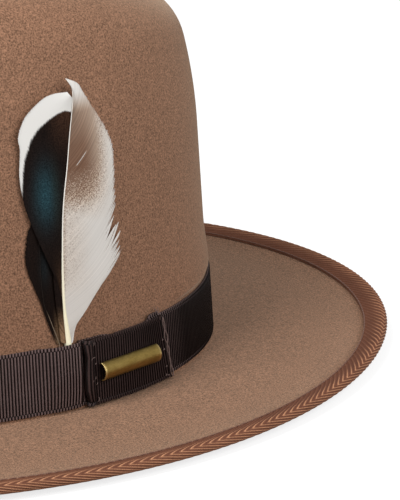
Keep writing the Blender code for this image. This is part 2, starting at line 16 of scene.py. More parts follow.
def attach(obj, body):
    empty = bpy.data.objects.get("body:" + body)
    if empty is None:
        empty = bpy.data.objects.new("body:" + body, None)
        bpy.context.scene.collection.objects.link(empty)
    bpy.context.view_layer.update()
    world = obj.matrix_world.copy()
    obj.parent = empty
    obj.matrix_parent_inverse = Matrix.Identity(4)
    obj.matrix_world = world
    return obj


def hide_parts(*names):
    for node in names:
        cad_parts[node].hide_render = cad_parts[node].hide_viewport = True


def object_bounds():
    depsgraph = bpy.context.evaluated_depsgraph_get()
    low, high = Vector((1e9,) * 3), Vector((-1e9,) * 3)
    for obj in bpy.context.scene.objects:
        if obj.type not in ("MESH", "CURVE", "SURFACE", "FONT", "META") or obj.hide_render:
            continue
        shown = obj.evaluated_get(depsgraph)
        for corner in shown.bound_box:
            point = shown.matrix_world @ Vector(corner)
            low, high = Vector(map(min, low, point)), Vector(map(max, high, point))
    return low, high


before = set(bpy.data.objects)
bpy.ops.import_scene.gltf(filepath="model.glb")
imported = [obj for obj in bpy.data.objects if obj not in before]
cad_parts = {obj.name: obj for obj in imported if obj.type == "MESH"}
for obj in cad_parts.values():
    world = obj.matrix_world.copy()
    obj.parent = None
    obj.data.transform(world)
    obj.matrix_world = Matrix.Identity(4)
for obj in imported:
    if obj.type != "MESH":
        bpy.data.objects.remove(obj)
CAD_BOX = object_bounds()

MILLIMETRE = 0.001
FULL_TURN = 2 * math.pi
QUARTER_TURN = math.pi / 2

# Head opening and the layers of the wall, as in the solids
HEAD_LENGTH = 0.1971
HEAD_WIDTH = 0.1652
SWEATBAND_THICKNESS = 0.0010
LINING_THICKNESS = 0.0004
FELT_THICKNESS = 0.0020
RIBBON_THICKNESS = 0.0007
CLEARANCE = 0.0003

# Brim and crown, as in the solids
BRIM_LENGTH = 0.3346
BRIM_WIDTH = 0.2991
BRIM_FLAT = 0.0135
BRIM_CURL_RISE = 0.0032
BRIM_CURL_POWER = 5
BRIM_WAVE_RISE = 0.0014
BRIM_WAVE_ANGLE = 65.0
BRIM_WAVE_SPREAD = 35.0
BREAK_RADIUS = 0.0010
CROWN_LEAN = 2.41
CROWN_ROUND_START = 0.0805
CROWN_ROUND_RADIUS = 0.1742
RIDGE_HEIGHT_SIDE = 0.142
RIDGE_HEIGHT_BACK = 0.126
RIDGE_HEIGHT_FRONT = 0.133
SHOULDER_RISE = 0.016
SHOULDER_RUN = 0.015
CREASE_HEIGHT = 0.108
CREASE_HALF_WIDTH = 0.005
PINCH_DEPTH = 0.024
PINCH_FORWARD = 0.054
PINCH_LENGTH = 0.026
PINCH_OVER_SWEATBAND = 0.005
PINCH_RISE = 0.074

# The felt stands out over the band, except behind the trim; heights are over the band
FELT_SWELL = 0.0009
SWELL_RISE = (0.0004, 0.0022)
SWELL_FALL = (0.003, 0.019)
SWELL_ROWS = np.array([0.5, 0.9, 1.3, 1.7, 2.2, 3.0, 4.0]) * MILLIMETRE
SWELL_FALL_ROWS_START = 0.0055
TRIM_SPAN = (-0.008, 0.066)
TRIM_MARGIN = 0.012

# Binding tape, its slanting cords and its seam
BINDING_WIDTH = 0.0073
BINDING_THICKNESS = 0.0005
BINDING_SEAM_INSET = 0.0005
FOLD_INSET = 0.0010
RIM_LENGTH = 0.995
HERRINGBONE_PITCH = 0.0037
HERRINGBONE_SLANT = (2.4, 4.0)
HERRINGBONE_SPINE = 0.3
HERRINGBONE_RELIEF = 0.00022
CORD_PROFILE = np.array([0.0, 0.2, 0.65, 1.0, 0.65, 0.2, 0.0])
TAPE_SELVEDGE = 0.0009
TAPE_EDGE_ROUND = 0.0004
TAPE_EDGE_ROWS = [0.0, 0.12, 0.35, 0.60, 0.85]
TAPE_ROWS_START = 1.1
# Painted highlight on the tape's light cords: how much it fades away from the fold, and over what distances
TAPE_HIGHLIGHT_FADE = 0.88
TAPE_HIGHLIGHT_FADE_SPAN = (0.0012, 0.0050)
TAPE_FIBRE = (0.8, 1.2)
TAPE_FUZZ = 0.5
TAPE_FUZZ_TONE = 0.05
THREAD_RADIUS = 0.00022
STITCH_PITCH = 0.0030
STITCH_GAP = 0.06
STITCH_ARCH = 0.8
STITCH_SINK = 0.3

# Band and keeper
RIBBON_HEIGHT = 0.0232
RIBBON_EDGE_ROWS = np.array([0.0, 0.14, 0.45, 0.80, 1.06, 1.20, 1.34, 1.60]) * MILLIMETRE
RIBBON_ROWS = np.concatenate([RIBBON_EDGE_ROWS, np.array([0.25, 0.5, 0.75]) * RIBBON_HEIGHT,
                              RIBBON_HEIGHT - RIBBON_EDGE_ROWS[::-1]])
BAND_RIB = 0.00115
KEEPER_RIB = 0.00104
RIB_RELIEF = 0.00040
RIB_MEAN = 0.45
RIB_HALF_WIDTH = (0.08, 0.22)
RIB_GROUND = (0.20, 0.31)
RIB_SAMPLES = np.array([0.0, 0.19, 0.28, 0.35, 0.42, 0.58, 0.65, 0.72, 0.81])
SELVEDGE = 0.0012
SELVEDGE_GROOVE = (0.00002, 0.00016)
SELVEDGE_ROUND = 0.0002
LAP_RAMP = 0.0060
LAP_END_RISE = 0.0016
LAP_TUCK = 0.0007
LAP_TUCK_SPAN = (0.010, 0.004)
LAP_TAB_START = 0.0505
LAP_TAB_RAMP = 0.003
KEEPER_START = 0.0226
KEEPER_LENGTH = 0.0373
KEEPER_FRONT_FOLD = 0.0072
KEEPER_REAR_FOLD = 0.0016
KEEPER_SLANT = 0.0037
KEEPER_SLANT_RUN = 0.014
KEEPER_PUFF = 0.0008
KEEPER_PUFF_PLACE = 0.0013
KEEPER_PUFF_SPREAD = 0.0012
KEEPER_REAR_RIDGE = 0.0006
KEEPER_RIDGE_PLACE = 0.0010
KEEPER_RIDGE_SPREAD = 0.0008
KEEPER_SCALLOP = 0.0077
KEEPER_SCALLOP_START = 0.0012
KEEPER_SCALLOP_DEPTH = 0.0015
KEEPER_SCALLOP_RUN = 0.004
POCKET_START = 0.01275
POCKET_SWELL = 0.0090
POCKET_END = 0.0201
POCKET_FALL = 0.0010
POCKET_DEPTH = 0.0021
POCKET_BY_HEIGHT = ([0.0, 0.35, 1.0], [0.3, 1.0, 1.0])

# Hand stitches of the keeper: lists in millimetres, as heights on the band, (place, height) and lengths
FRONT_STITCHES = np.array([1.6, 7.4, 9.6, 14.6, 21.6])
REAR_STITCHES = [(57.2, 17.5), (57.8, 13.9), (58.6, 7.5), (58.2, 4.4), (59.6, 4.1), (60.3, 5.2)]
FRAY_LENGTHS = (3.0, 1.8, 2.4)
FRONT_THREAD = 0.6
REAR_THREAD = 0.9
FRAY_THREAD = 0.45
TIE_PLACE = 0.0004
TIE_LENGTH = 0.0026
TIE_SLANT = 0.0011
TIE_WAVER = 0.0002
TIE_LIFT = 0.0003
TIE_ARCH = 0.0002
TIE_SINK = 0.0013
FRONT_STITCH_PLACE = 0.0030
FRONT_STITCH_STRAY = 0.0006
FRONT_STITCH_LEAN = 0.0005
FRONT_STITCH_LENGTHS = (0.0004, 0.0016)
FRONT_STITCH_LIFT = 0.0001
FRONT_STITCH_ARCH = 0.0003
PAIR_TWISTS = 2.5
PAIR_PLACE = 0.0008
PAIR_INSETS = (0.0004, 0.0006)
PAIR_SWING = 0.00042
PAIR_WAVER = 0.0003
PAIR_LIFT = 0.00022
PAIR_DEPTH = 0.00020
REAR_STITCH_LENGTH = 0.0006
REAR_STITCH_LEAN = 0.0003
REAR_STITCH_ARCH = 0.00035
FRAY_PLACE = 0.0020
FRAY_PITCH = 0.0009
FRAY_SPREAD = 0.0006
FRAY_LIFT = 0.0004
FRAY_WAVER = 0.0006

# Metal bar on the keeper
PLATE_LENGTH = 0.0264
PLATE_WIDTH = 0.0058
PLATE_RISE = 0.0022
PLATE_SHIFT = -0.0014
PLATE_WALL = 0.0005
PLATE_BEVEL = 0.00014
BEVEL_PROFILE = np.array([1.0, 0.45, 0.12, 0.0])
PLATE_ROWS = np.linspace(0.001, 0.006, 6)
PLATE_SIDE_BEVEL = 0.10
PLATE_RUBBED_END = 0.0004
PLATE_RUBBED_SIDE = 0.12
PLATE_TONES = (0.85, 0.35, 0.3)

# Feathers: lists in millimetres, shafts (place, height), vanes (place, tip, root), quills (height, size)
QUILL_DEPTH = 0.0152
QUILL_SLANT = 0.0012
QUILL_FLATNESS = 0.82
QUILL_END = np.array([0.35, 0.7, 0.9, 1.0])
FRONT_SHAFT = [(16.4, 0.8), (15.6, 12.8), (15.7, 22.8), (16.15, 32.8), (17.4, 47.8), (19.9, 61.8),
               (21.5, 71.8), (23.0, 79.8), (23.75, 84.8), (23.2, 88.6), (21.2, 91.3)]
FRONT_DARK_VANE = [(13.7, 1.6, 0.3), (13.2, 8.0, 2.0), (12.5, 16.0, 5.5), (12.2, 23.0, 9.5),
                   (12.3, 29.3, 13.5), (8.5, 37.8, 18.0), (5.9, 42.6, 20.5), (3.6, 48.0, 25.5),
                   (2.2, 54.5, 32.3), (1.6, 61.5, 41.0), (2.3, 69.5, 51.5), (1.9, 74.3, 57.5),
                   (4.5, 80.1, 64.3), (8.0, 83.3, 69.3), (12.0, 85.8, 74.3), (16.0, 86.8, 79.3),
                   (21.4, 86.6, 84.0)]
FRONT_PALE_VANE = [(18.3, 0.8, 0.2), (19.9, 6.3, 0.9), (23.0, 12.0, 2.4), (29.0, 16.6, 4.6),
                   (35.4, 22.6, 8.0), (41.2, 27.4, 11.5), (39.9, 32.5, 14.5), (39.3, 39.0, 18.5),
                   (39.7, 47.8, 25.5), (40.0, 57.0, 35.0), (39.8, 65.2, 45.0), (36.2, 73.4, 55.0),
                   (31.3, 80.8, 66.5), (28.5, 85.3, 74.0), (26.2, 88.9, 81.0), (21.4, 91.3, 88.6)]
FRONT_QUILL_RADII = [(-15.0, 0.95), (0.8, 1.32), (12.8, 0.62), (22.8, 0.42), (32.8, 0.28), (47.8, 0.21),
                     (61.8, 0.18), (91.3, 0.10)]
FRONT_QUILL_LEVELS = [(-15.0, 1.2), (2.0, 1.3), (14.0, 1.5), (30.0, 1.75), (91.0, 1.8)]
REAR_QUILL_RADII = [(-15.0, 0.33), (0.8, 0.11), (44.3, 0.08)]
REAR_QUILL_LEVELS = [(-15.0, 0.65), (5.0, 0.75), (20.0, 0.8), (45.0, 0.85)]
REAR_SHAFT = [(13.4, 0.8), (10.2, 10.3), (8.4, 16.0), (7.8, 26.3), (8.0, 44.3)]
REAR_LEFT_VANE = [(12.5, 0.9, 0.8), (10.4, 6.0, 4.0), (8.5, 11.8, 9.0), (7.4, 15.8, 12.5),
                  (5.5, 20.8, 15.5), (3.5, 26.3, 18.5), (2.5, 31.5, 22.5), (3.0, 36.5, 27.5),
                  (4.3, 41.8, 33.5), (7.2, 45.6, 42.0)]
REAR_RIGHT_VANE = [(14.5, 2.8, 0.9), (13.6, 10.0, 4.0), (13.2, 17.3, 8.0), (12.2, 32.3, 20.0),
                   (9.0, 45.8, 42.0)]
FRONT_VANE_LEVEL = 0.0015
REAR_VANE_LEVEL = 0.00065
BARB_PITCH = 0.00036
BARB_POINTS = 40
BARB_BEND = np.array([0.62, 0.40])
BARB_HALF_WIDTH = 0.72
BARB_SPACING = (0.00010, 0.0012)
BARB_SLACK = 0.00004
BARB_TILT = 0.00003
BARB_HALF_THICKNESS = 0.000025
BARB_ARCH = 0.0005
REAR_BARB_ARCH = 0.0002
BARB_ARCH_POWER = 1.2
BARB_TAPER = 0.6
BARB_TAPER_START = 0.94
WISP_BARBS = (3, 11)
WISP_REACH = 0.05
WISP_RAGGED = 3.0
WISP_START = 0.72
WISP_TAPER_START = 0.7
NO_WISPS = (0.0, 0.0, 1.0)
PALE_WISPS = (0.90, 36.0, 14.0)

# Colours of the dark barbs, and where the pale vane and the white tip change, in millimetres
TIP_BARB = np.array([0.72, 0.705, 0.675])
DARK_BARB = np.array([0.0085, 0.0048, 0.0037])
UPPER_BARB = np.array([0.038, 0.018, 0.0107])
# Teal and green: the feathers' iridescent sheen, painted as fixed colours
IRIDESCENT_TEAL_BARB = np.array([0.019, 0.053, 0.066])
IRIDESCENT_GREEN_BARB = np.array([0.023, 0.036, 0.026])
SHAFT_BARB = np.array([0.050, 0.026, 0.014])
BROWN_BARB = np.array([0.240, 0.145, 0.080])
TAN_BARB = np.array([0.150, 0.095, 0.055])
WHITE_TIP_LINE = np.array([(2.2, 54.3), (2.6, 59.3), (3.0, 62.8), (3.9, 66.8), (6.5, 72.8), (9.5, 76.0),
                           (13.0, 78.3), (17.0, 80.0), (20.0, 80.5), (23.5, 79.3)])
PALE_FIELD_HEIGHTS = [40.0, 46.0, 50.0, 56.0, 60.0, 68.0, 79.0, 83.5, 86.0]
PALE_FIELD_SHARES = [0.0, 0.25, 0.55, 0.80, 0.98, 0.95, 0.75, 0.20, 0.0]
SPLIT_ROOT = 57.5
SPLIT_HALF_WIDTH = 0.22
# Where the painted iridescent sheen lies on each feather, as patch() takes it
IRIDESCENT_PATCH = (10.7, 3.9, 53.0, 9.0)
REAR_IRIDESCENT_PATCH = (9.3, 2.0, 28.0, 6.0)

# Sweatband, bow and lining; the bow's tails are (start, change) in place, half width and height
SWEATBAND_HEIGHT = 0.0380
SWEATBAND_JOINT = 0.0008
SWEATBAND_SEAM_LIFT = 0.0022
SWEATBAND_STITCHES = 200
SWEATBAND_STITCH_GAP = 0.08
SWEATBAND_EDGE_ROWS = np.array([0.0, 0.0003, 0.0010])
SWEATBAND_EDGE_ROUND = (-0.0002, 0.0010)
SWEATBAND_EDGE_THIN = 0.00035
SWEATBAND_FLAT_INSET = 0.004
SWEATBAND_CREASE_INSET = 0.003
SWEATBAND_CREASE_SPREAD = 0.0007
SWEATBAND_CREASE_DEPTH = 0.00012
SWEATBAND_SLACK = 0.00010
SWEATBAND_WAVES = 9.0
SWEATBAND_STITCH_LIFT = 0.0001
REED_RADIUS = 0.0009
REED_LIFT = 0.0008
REED_LAP = 0.00006
REED_LAPS = 190.0
REED_LAP_WIDTH = 0.6
BOW_HALF_LENGTH = 0.0085
BOW_HALF_HEIGHT = 0.0040
BOW_WAIST = 0.0014
BOW_LIFT = 0.0135
BOW_RIBBON = 0.00012
BOW_HOLLOW = 0.00015
BOW_LOOP_GAP = 0.00015
BOW_LOOP_DEPTH = 0.0008
BOW_TAIL_GAP = 0.0001
BOW_TAIL = [(0.0006, 0.0062), (0.0011, 0.0007), (-0.0008, -0.0066)]
BOW_KNOT = (0.0013, 0.0019, 0.0006)
BOW_KNOT_DEPTH = 0.0007
LINING_TUCK = 0.0330
LINING_SEAM = 1.0 - 1.0 / 7
LINING_WALL = 0.6 * LINING_THICKNESS
LINING_GATHER = 0.0004
LINING_FOLDS = 60
LINING_FOLD_SPAN = (0.35, 0.98)

# Camera, matched to the photograph, and the studio; lamps as (name, place, target, size, watts)
CAMERA_PLACE = Vector((1.06301, -0.39229, 0.40051))
CAMERA_FORWARD = Vector((-0.86140973, 0.40433434, -0.3073874))
CAMERA_UP = Vector((-0.26961128, 0.14888547, 0.95138997))
CAMERA_LENS = 239.01
LAMPS = [("side_softbox", (0.95, 0.36, 0.66), (0.05, 0.0, 0.05), 0.7, 8.0),
         ("front_softbox", (0.32, -0.66, 1.10), (0.05, 0.0, 0.0), 0.5, 11.6)]
WORLD_STRENGTH = 0.40
FLOOR_REACH = 6.0
FLOOR_DROP = 0.0004
FLOOR_GLOW = 0.76

# Finishes: the range of most noise, the tone of a ribbon's hidden side, the angle of edges shaded sharp
NOISE_RANGE = (0.3, 0.7)
HIDDEN_TONE = 0.2
SHARP_ANGLE = math.radians(55)

# Sizes that follow from the ones above
CROWN_TAPER = math.tan(math.radians(CROWN_LEAN))
LINING_LEVEL = -FELT_THICKNESS - CLEARANCE
SWEATBAND_LEVEL = LINING_LEVEL - LINING_THICKNESS - CLEARANCE
HEAD_LEVEL = SWEATBAND_LEVEL - SWEATBAND_THICKNESS
FELT_HALF_LENGTH = HEAD_LENGTH / 2 - HEAD_LEVEL
FELT_HALF_WIDTH = HEAD_WIDTH / 2 - HEAD_LEVEL
WALL_FOOT = FELT_THICKNESS + BREAK_RADIUS
EDGE_SLOPE = BRIM_CURL_POWER * BRIM_CURL_RISE / (BRIM_LENGTH / 2 - FELT_HALF_LENGTH - BRIM_FLAT)
EDGE_LEAN = (FELT_THICKNESS + CLEARANCE) * math.sin(math.atan(EDGE_SLOPE))
EDGE_REACH = CLEARANCE + BINDING_THICKNESS + EDGE_LEAN
EDGE_HALF_LENGTH = BRIM_LENGTH / 2 - EDGE_REACH
EDGE_HALF_WIDTH = BRIM_WIDTH / 2 - EDGE_REACH
RIBBON_BOTTOM = WALL_FOOT
RIBBON_TOP = RIBBON_BOTTOM + RIBBON_HEIGHT
RIBBON_LAYER = RIBBON_THICKNESS + CLEARANCE
KEEPER_END = KEEPER_START + KEEPER_LENGTH
KEEPER_INNER_LEVEL = CLEARANCE + RIBBON_LAYER + RIBBON_THICKNESS / 2
KEEPER_OUTER_LEVEL = KEEPER_INNER_LEVEL + RIBBON_LAYER
KEEPER_FACE = KEEPER_OUTER_LEVEL + RIBBON_THICKNESS / 2
LAP_START = KEEPER_START + KEEPER_FRONT_FOLD + CLEARANCE
BAND_UNDER_END = LAP_START + LAP_RAMP + 2 * CLEARANCE
BAND_OVER_END = KEEPER_END - KEEPER_REAR_FOLD - 2 * CLEARANCE
SWEATBAND_BOTTOM = REED_LIFT + 2 * REED_RADIUS + CLEARANCE
SWEATBAND_TOP = SWEATBAND_BOTTOM + SWEATBAND_HEIGHT
PINCH_LOW = SWEATBAND_TOP + PINCH_OVER_SWEATBAND
LINING_BOTTOM = SWEATBAND_TOP - LINING_TUCK


def smooth(value, low, high):
    """A smooth rise from 0 at low to 1 at high."""
    share = np.clip((value - low) / (high - low), 0.0, 1.0)
    return share * share * (3.0 - 2.0 * share)


def bell(value, middle, spread):
    """A smooth hump of height 1 at a middle."""
    return np.exp(-((value - middle) / spread) ** 2)


def shares(count):
    """Even steps from 0 to 1."""
    return np.linspace(0.0, 1.0, count)


def unit(vectors):
    """Vectors of the same directions and of length 1."""
    return vectors / np.linalg.norm(vectors, axis=-1, keepdims=True)


def blended(base, other, share):
    """Colours part of the way to another colour."""
    return base + (other - base) * share[..., None]


def by_height(above, table):
    """Sizes at heights over the band, from a table of both in millimetres."""
    heights, sizes = np.array(table).T * MILLIMETRE
    return np.interp(above, heights, sizes)


def oval(half_length, half_width, angle, height):
    """Points on level ovals: angle 0 is the wearer's left and a quarter turn is the back."""
    across = half_width * np.cos(angle)
    along = half_length * np.sin(angle)
    return np.stack(np.broadcast_arrays(across, along, height), axis=-1).astype(float)


def arc_table():
    """Distances round the foot of the felt, and the angles where they fall."""
    angles = np.linspace(-math.pi, 3 * math.pi, 5761)
    speed = np.hypot(FELT_HALF_LENGTH * np.cos(angles), FELT_HALF_WIDTH * np.sin(angles))
    steps = (speed[1:] + speed[:-1]) / 2 * np.diff(angles)
    distances = np.concatenate([[0.0], np.cumsum(steps)])
    return distances - np.interp(0.0, angles, distances), angles


ARC_DISTANCES, ARC_ANGLES = arc_table()
ONCE_ROUND = float(np.interp(FULL_TURN, ARC_ANGLES, ARC_DISTANCES))
BACK_PLACE = float(np.interp(QUARTER_TURN, ARC_ANGLES, ARC_DISTANCES))


def angle_at(place):
    """The angles at places along the band."""
    return np.interp(place, ARC_DISTANCES, ARC_ANGLES)


def turn_angles(count):
    """Angles all round the hat, starting at the back."""
    return QUARTER_TURN + FULL_TURN * np.arange(count) / count


def stitch_angles(count, gap):
    """Angles along each of a ring of stitches, and the shares of the stitch where they lie."""
    share = np.linspace(gap, 1.0 - gap, 7)
    return turn_angles(count)[:, None] + share * FULL_TURN / count, share


def wall_inset(height):
    """How far the wall of the crown has leaned in at a height."""
    rounded = np.maximum(0.0, height - CROWN_ROUND_START)
    return CROWN_TAPER * height + rounded * rounded / (2 * CROWN_ROUND_RADIUS)


def wall_at(angle, height, level):
    """Points on the lower wall of the crown, below the pinches."""
    reach = level - wall_inset(height)
    return oval(FELT_HALF_LENGTH + reach, FELT_HALF_WIDTH + reach, angle, height)


def wall(place, height, level):
    """Points on the lower wall at places along the band."""
    return wall_at(angle_at(place), height, level)


def sheet(place, above, level):
    """Points on the straight sheet that the feathers lie in, at heights over the band."""
    height = RIBBON_TOP + above
    reach = level - CROWN_TAPER * height
    return oval(FELT_HALF_LENGTH + reach, FELT_HALF_WIDTH + reach, angle_at(place), height)


def ridge_height(angle):
    """Height of the ridge round the crease, lower at the back and the front than at the sides."""
    end = np.where(np.sin(angle) > 0, RIDGE_HEIGHT_BACK, RIDGE_HEIGHT_FRONT)
    return RIDGE_HEIGHT_SIDE + (end - RIDGE_HEIGHT_SIDE) * np.sin(angle) ** 2


def wall_share(height, angle):
    """The share of the crown's wall that lies below a height."""
    return (height - WALL_FOOT) / (ridge_height(angle) - SHOULDER_RISE - WALL_FOOT)


def crown(zone, share, angle):
    """Points on the outside of the creased and pinched crown: its wall, its shoulder or its crease."""
    ridge = ridge_height(angle)
    top = ridge - SHOULDER_RISE
    if zone == "wall":
        height = WALL_FOOT + (top - WALL_FOOT) * share
        inset = wall_inset(height)
    elif zone == "shoulder":
        slope = CROWN_TAPER + np.maximum(0.0, top - CROWN_ROUND_START) / CROWN_ROUND_RADIUS
        lean = slope * SHOULDER_RISE
        turn = share * QUARTER_TURN
        inset = wall_inset(top) + lean * np.sin(turn) + (SHOULDER_RUN - lean) * (1 - np.cos(turn))
        height = top + SHOULDER_RISE * np.sin(turn)
    else:
        start = wall_inset(top) + SHOULDER_RUN
        inset = start + (FELT_HALF_WIDTH - CREASE_HALF_WIDTH - start) * share
        height = ridge + (CREASE_HEIGHT - ridge) * (1 - np.cos(math.pi * share)) / 2
    points = oval(FELT_HALF_LENGTH - inset, FELT_HALF_WIDTH - inset, angle, height)
    push = PINCH_DEPTH * bell(points[..., 1], -PINCH_FORWARD, PINCH_LENGTH)
    push = push * smooth(height, PINCH_LOW, PINCH_LOW + PINCH_RISE)
    points[..., 0] -= push * points[..., 0] / FELT_HALF_WIDTH
    return points


def crown_inside(zone, share, angle, level):
    """Points at a level from the outside of the crown, measured square to it."""
    step = 0.01
    around = crown(zone, share, angle + step) - crown(zone, share, angle - step)
    above = crown(zone, np.minimum(1.0, share + step), angle)
    below = crown(zone, np.maximum(0.0, share - step), angle)
    return crown(zone, share, angle) + unit(np.cross(around, above - below)) * np.asarray(level)[..., None]


def brim_span(angle):
    """The edge of the felt brim, the unit direction in from it, and the width of the brim."""
    edge = oval(EDGE_HALF_LENGTH, EDGE_HALF_WIDTH, angle, 0.0)
    across = wall_at(angle, FELT_THICKNESS, BREAK_RADIUS) - edge
    across[..., 2] = 0.0
    width = np.linalg.norm(across, axis=-1)
    return edge, across / width[..., None], width


def curl_rise(angle):
    """Height of the brim's curl, which waves up a little at the wearer's left and to the rear."""
    away = (angle - math.radians(BRIM_WAVE_ANGLE) + math.pi) % FULL_TURN - math.pi
    return BRIM_CURL_RISE + BRIM_WAVE_RISE * bell(away, 0.0, math.radians(BRIM_WAVE_SPREAD))


def brim(angle, inward, lift=0.0, out=0.0):
    """Points of the brim: a distance in from the felt's edge, then a lift and a reach out, both askew."""
    edge, direction, width = brim_span(angle)
    rise = curl_rise(angle)
    curl_length = width - BRIM_FLAT
    curl = np.clip(1.0 - inward / curl_length, 0.0, 1.0)
    tilt = np.arctan(BRIM_CURL_POWER * rise * curl ** (BRIM_CURL_POWER - 1) / curl_length)
    top = FELT_THICKNESS + rise * curl ** BRIM_CURL_POWER
    points = edge + direction * (inward + lift * np.sin(tilt) - out * np.cos(tilt))[..., None]
    points[..., 2] = top + lift * np.cos(tilt) + out * np.sin(tilt)
    return points


def curve_through(points, count):
    """Evenly shared places on a smooth curve through a few points."""
    points = np.asarray(points, dtype=float)
    ends = np.vstack([2 * points[0] - points[1], points, 2 * points[-1] - points[-2]])
    share = np.linspace(0.0, len(points) - 1.0, count)
    span = np.minimum(share.astype(int), len(points) - 2)
    part = (share - span)[:, None]
    before, first, second, after = (ends[span + step] for step in range(4))
    linear = second - before
    square = 2 * before - 5 * first + 4 * second - after
    cube = 3 * first - before - 3 * second + after
    return first + (linear * part + square * part ** 2 + cube * part ** 3) / 2


def run_lengths(points):
    """Lengths along a line of points, up to each of them."""
    return np.concatenate([[0.0], np.cumsum(np.linalg.norm(np.diff(points, axis=0), axis=1))])


def loop_length(points):
    """Length of a closed line of points."""
    return float(np.linalg.norm(np.roll(points, -1, axis=0) - points, axis=1).sum())


def spaced(points, count):
    """The same curve with its points spaced evenly along its length."""
    lengths = run_lengths(points)
    wanted = np.linspace(0.0, lengths[-1], count)
    return np.stack([np.interp(wanted, lengths, column) for column in points.T], axis=-1)


def grid(rows, columns, wrap_rows=False):
    """Four-sided faces between rows of points that each close on themselves, counted row by row."""
    index = np.arange(rows * columns).reshape(rows, columns)
    if wrap_rows:
        index = np.vstack([index, index[:1]])
    index = np.hstack([index, index[:, :1]])
    corners = [index[:-1, :-1], index[:-1, 1:], index[1:, 1:], index[1:, :-1]]
    return np.stack(corners, axis=-1).reshape(-1, 4)


def strands(paths, radius, reference):
    """Round sections along paths of points, (strands, points, 3), none of them along the reference."""
    along = unit(np.gradient(paths, axis=1))
    side = unit(np.cross(along, reference))
    lift = np.cross(side, along)
    turn = np.linspace(0.0, FULL_TURN, 6, endpoint=False)[:, None]
    return paths[:, :, None] + radius * (np.cos(turn) * side[:, :, None] + np.sin(turn) * lift[:, :, None])


def add_object(name, data):
    """A new object in the scene."""
    item = bpy.data.objects.new(name, data)
    bpy.context.scene.collection.objects.link(item)
    return item


class Shape:
    """Gathers the bodies of one piece, with a tone at every point for the finish to read."""

    def __init__(self):
        self.points = []
        self.faces = []
        self.tones = []
        self.count = 0

    def add(self, points, faces, tones=0.5):
        """Add points with faces that are counted from the first of them."""
        flat = points.reshape(-1, 3)
        tones = np.asarray(tones, dtype=float)
        if tones.ndim < points.ndim:
            tones = tones[..., None] * np.ones(3)
        self.points.append(flat)
        self.tones.append(np.broadcast_to(tones, points.shape).reshape(-1, 3))
        self.faces += [sides + self.count for sides in faces]
        self.count += len(flat)

    def sweep(self, sections, tones=0.5, loop=False):
        """Add closed bodies through like sections, (bodies, rings, points round each, 3)."""
        if sections.ndim == 3:
            sections = sections[None]
        bodies, rings, around = sections.shape[:3]
        first = np.arange(bodies)[:, None, None] * rings * around
        faces = [(grid(rings, around, loop) + first).reshape(-1, 4)]
        if not loop:
            ends = np.arange(around) + np.array([[0], [(rings - 1) * around]])
            faces.append((ends + first).reshape(-1, around))
        self.add(sections, faces, tones)

    def place(self, name, finish, slot, node, body="hat", thickness=None):
        """Make the piece, on its body and in the place of the solid that it stands for.

        An open surface has its thickness added on its inner side."""
        mesh = bpy.data.meshes.new(name)
        faces = [face for sides in self.faces for face in sides.tolist()]
        mesh.from_pydata(np.concatenate(self.points), [], faces, shade_flat=False)
        if thickness is None:
            build = bmesh.new()
            build.from_mesh(mesh)
            bmesh.ops.recalc_face_normals(build, faces=build.faces)
            build.to_mesh(mesh)
            build.free()
        tones = np.concatenate(self.tones)
        colours = np.hstack([tones, np.ones((len(tones), 1))])
        mesh.attributes.new("tone", "FLOAT_COLOR", "POINT").data.foreach_set("color", colours.ravel())
        mesh.shade_smooth()
        mesh.set_sharp_from_angle(angle=SHARP_ANGLE)
        mesh.materials.append(finish)
        piece = add_object(name, mesh)
        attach(piece, body)
        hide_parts(node)
        if thickness is not None:
            solid = piece.modifiers.new("thickness", "SOLIDIFY")
            solid.thickness = thickness
            solid.offset = -1
            solid.use_even_offset = True
            solid.use_quality_normals = True
        return piece


def creased(rows):
    """A shape from rows of points up to a narrow slot, which faces from side to side close."""
    columns = len(rows[0])
    left = np.arange(columns // 2)
    across = np.stack([left, left + 1, columns - 1 - left, -left % columns], axis=-1)
    across = across + (len(rows) - 1) * columns
    ends = [across[:1, :3], across[-1:, [0, 1, 3]]]
    shape = Shape()
    shape.add(np.stack(rows), [grid(len(rows), columns), across[1:-1], *ends])
    return shape


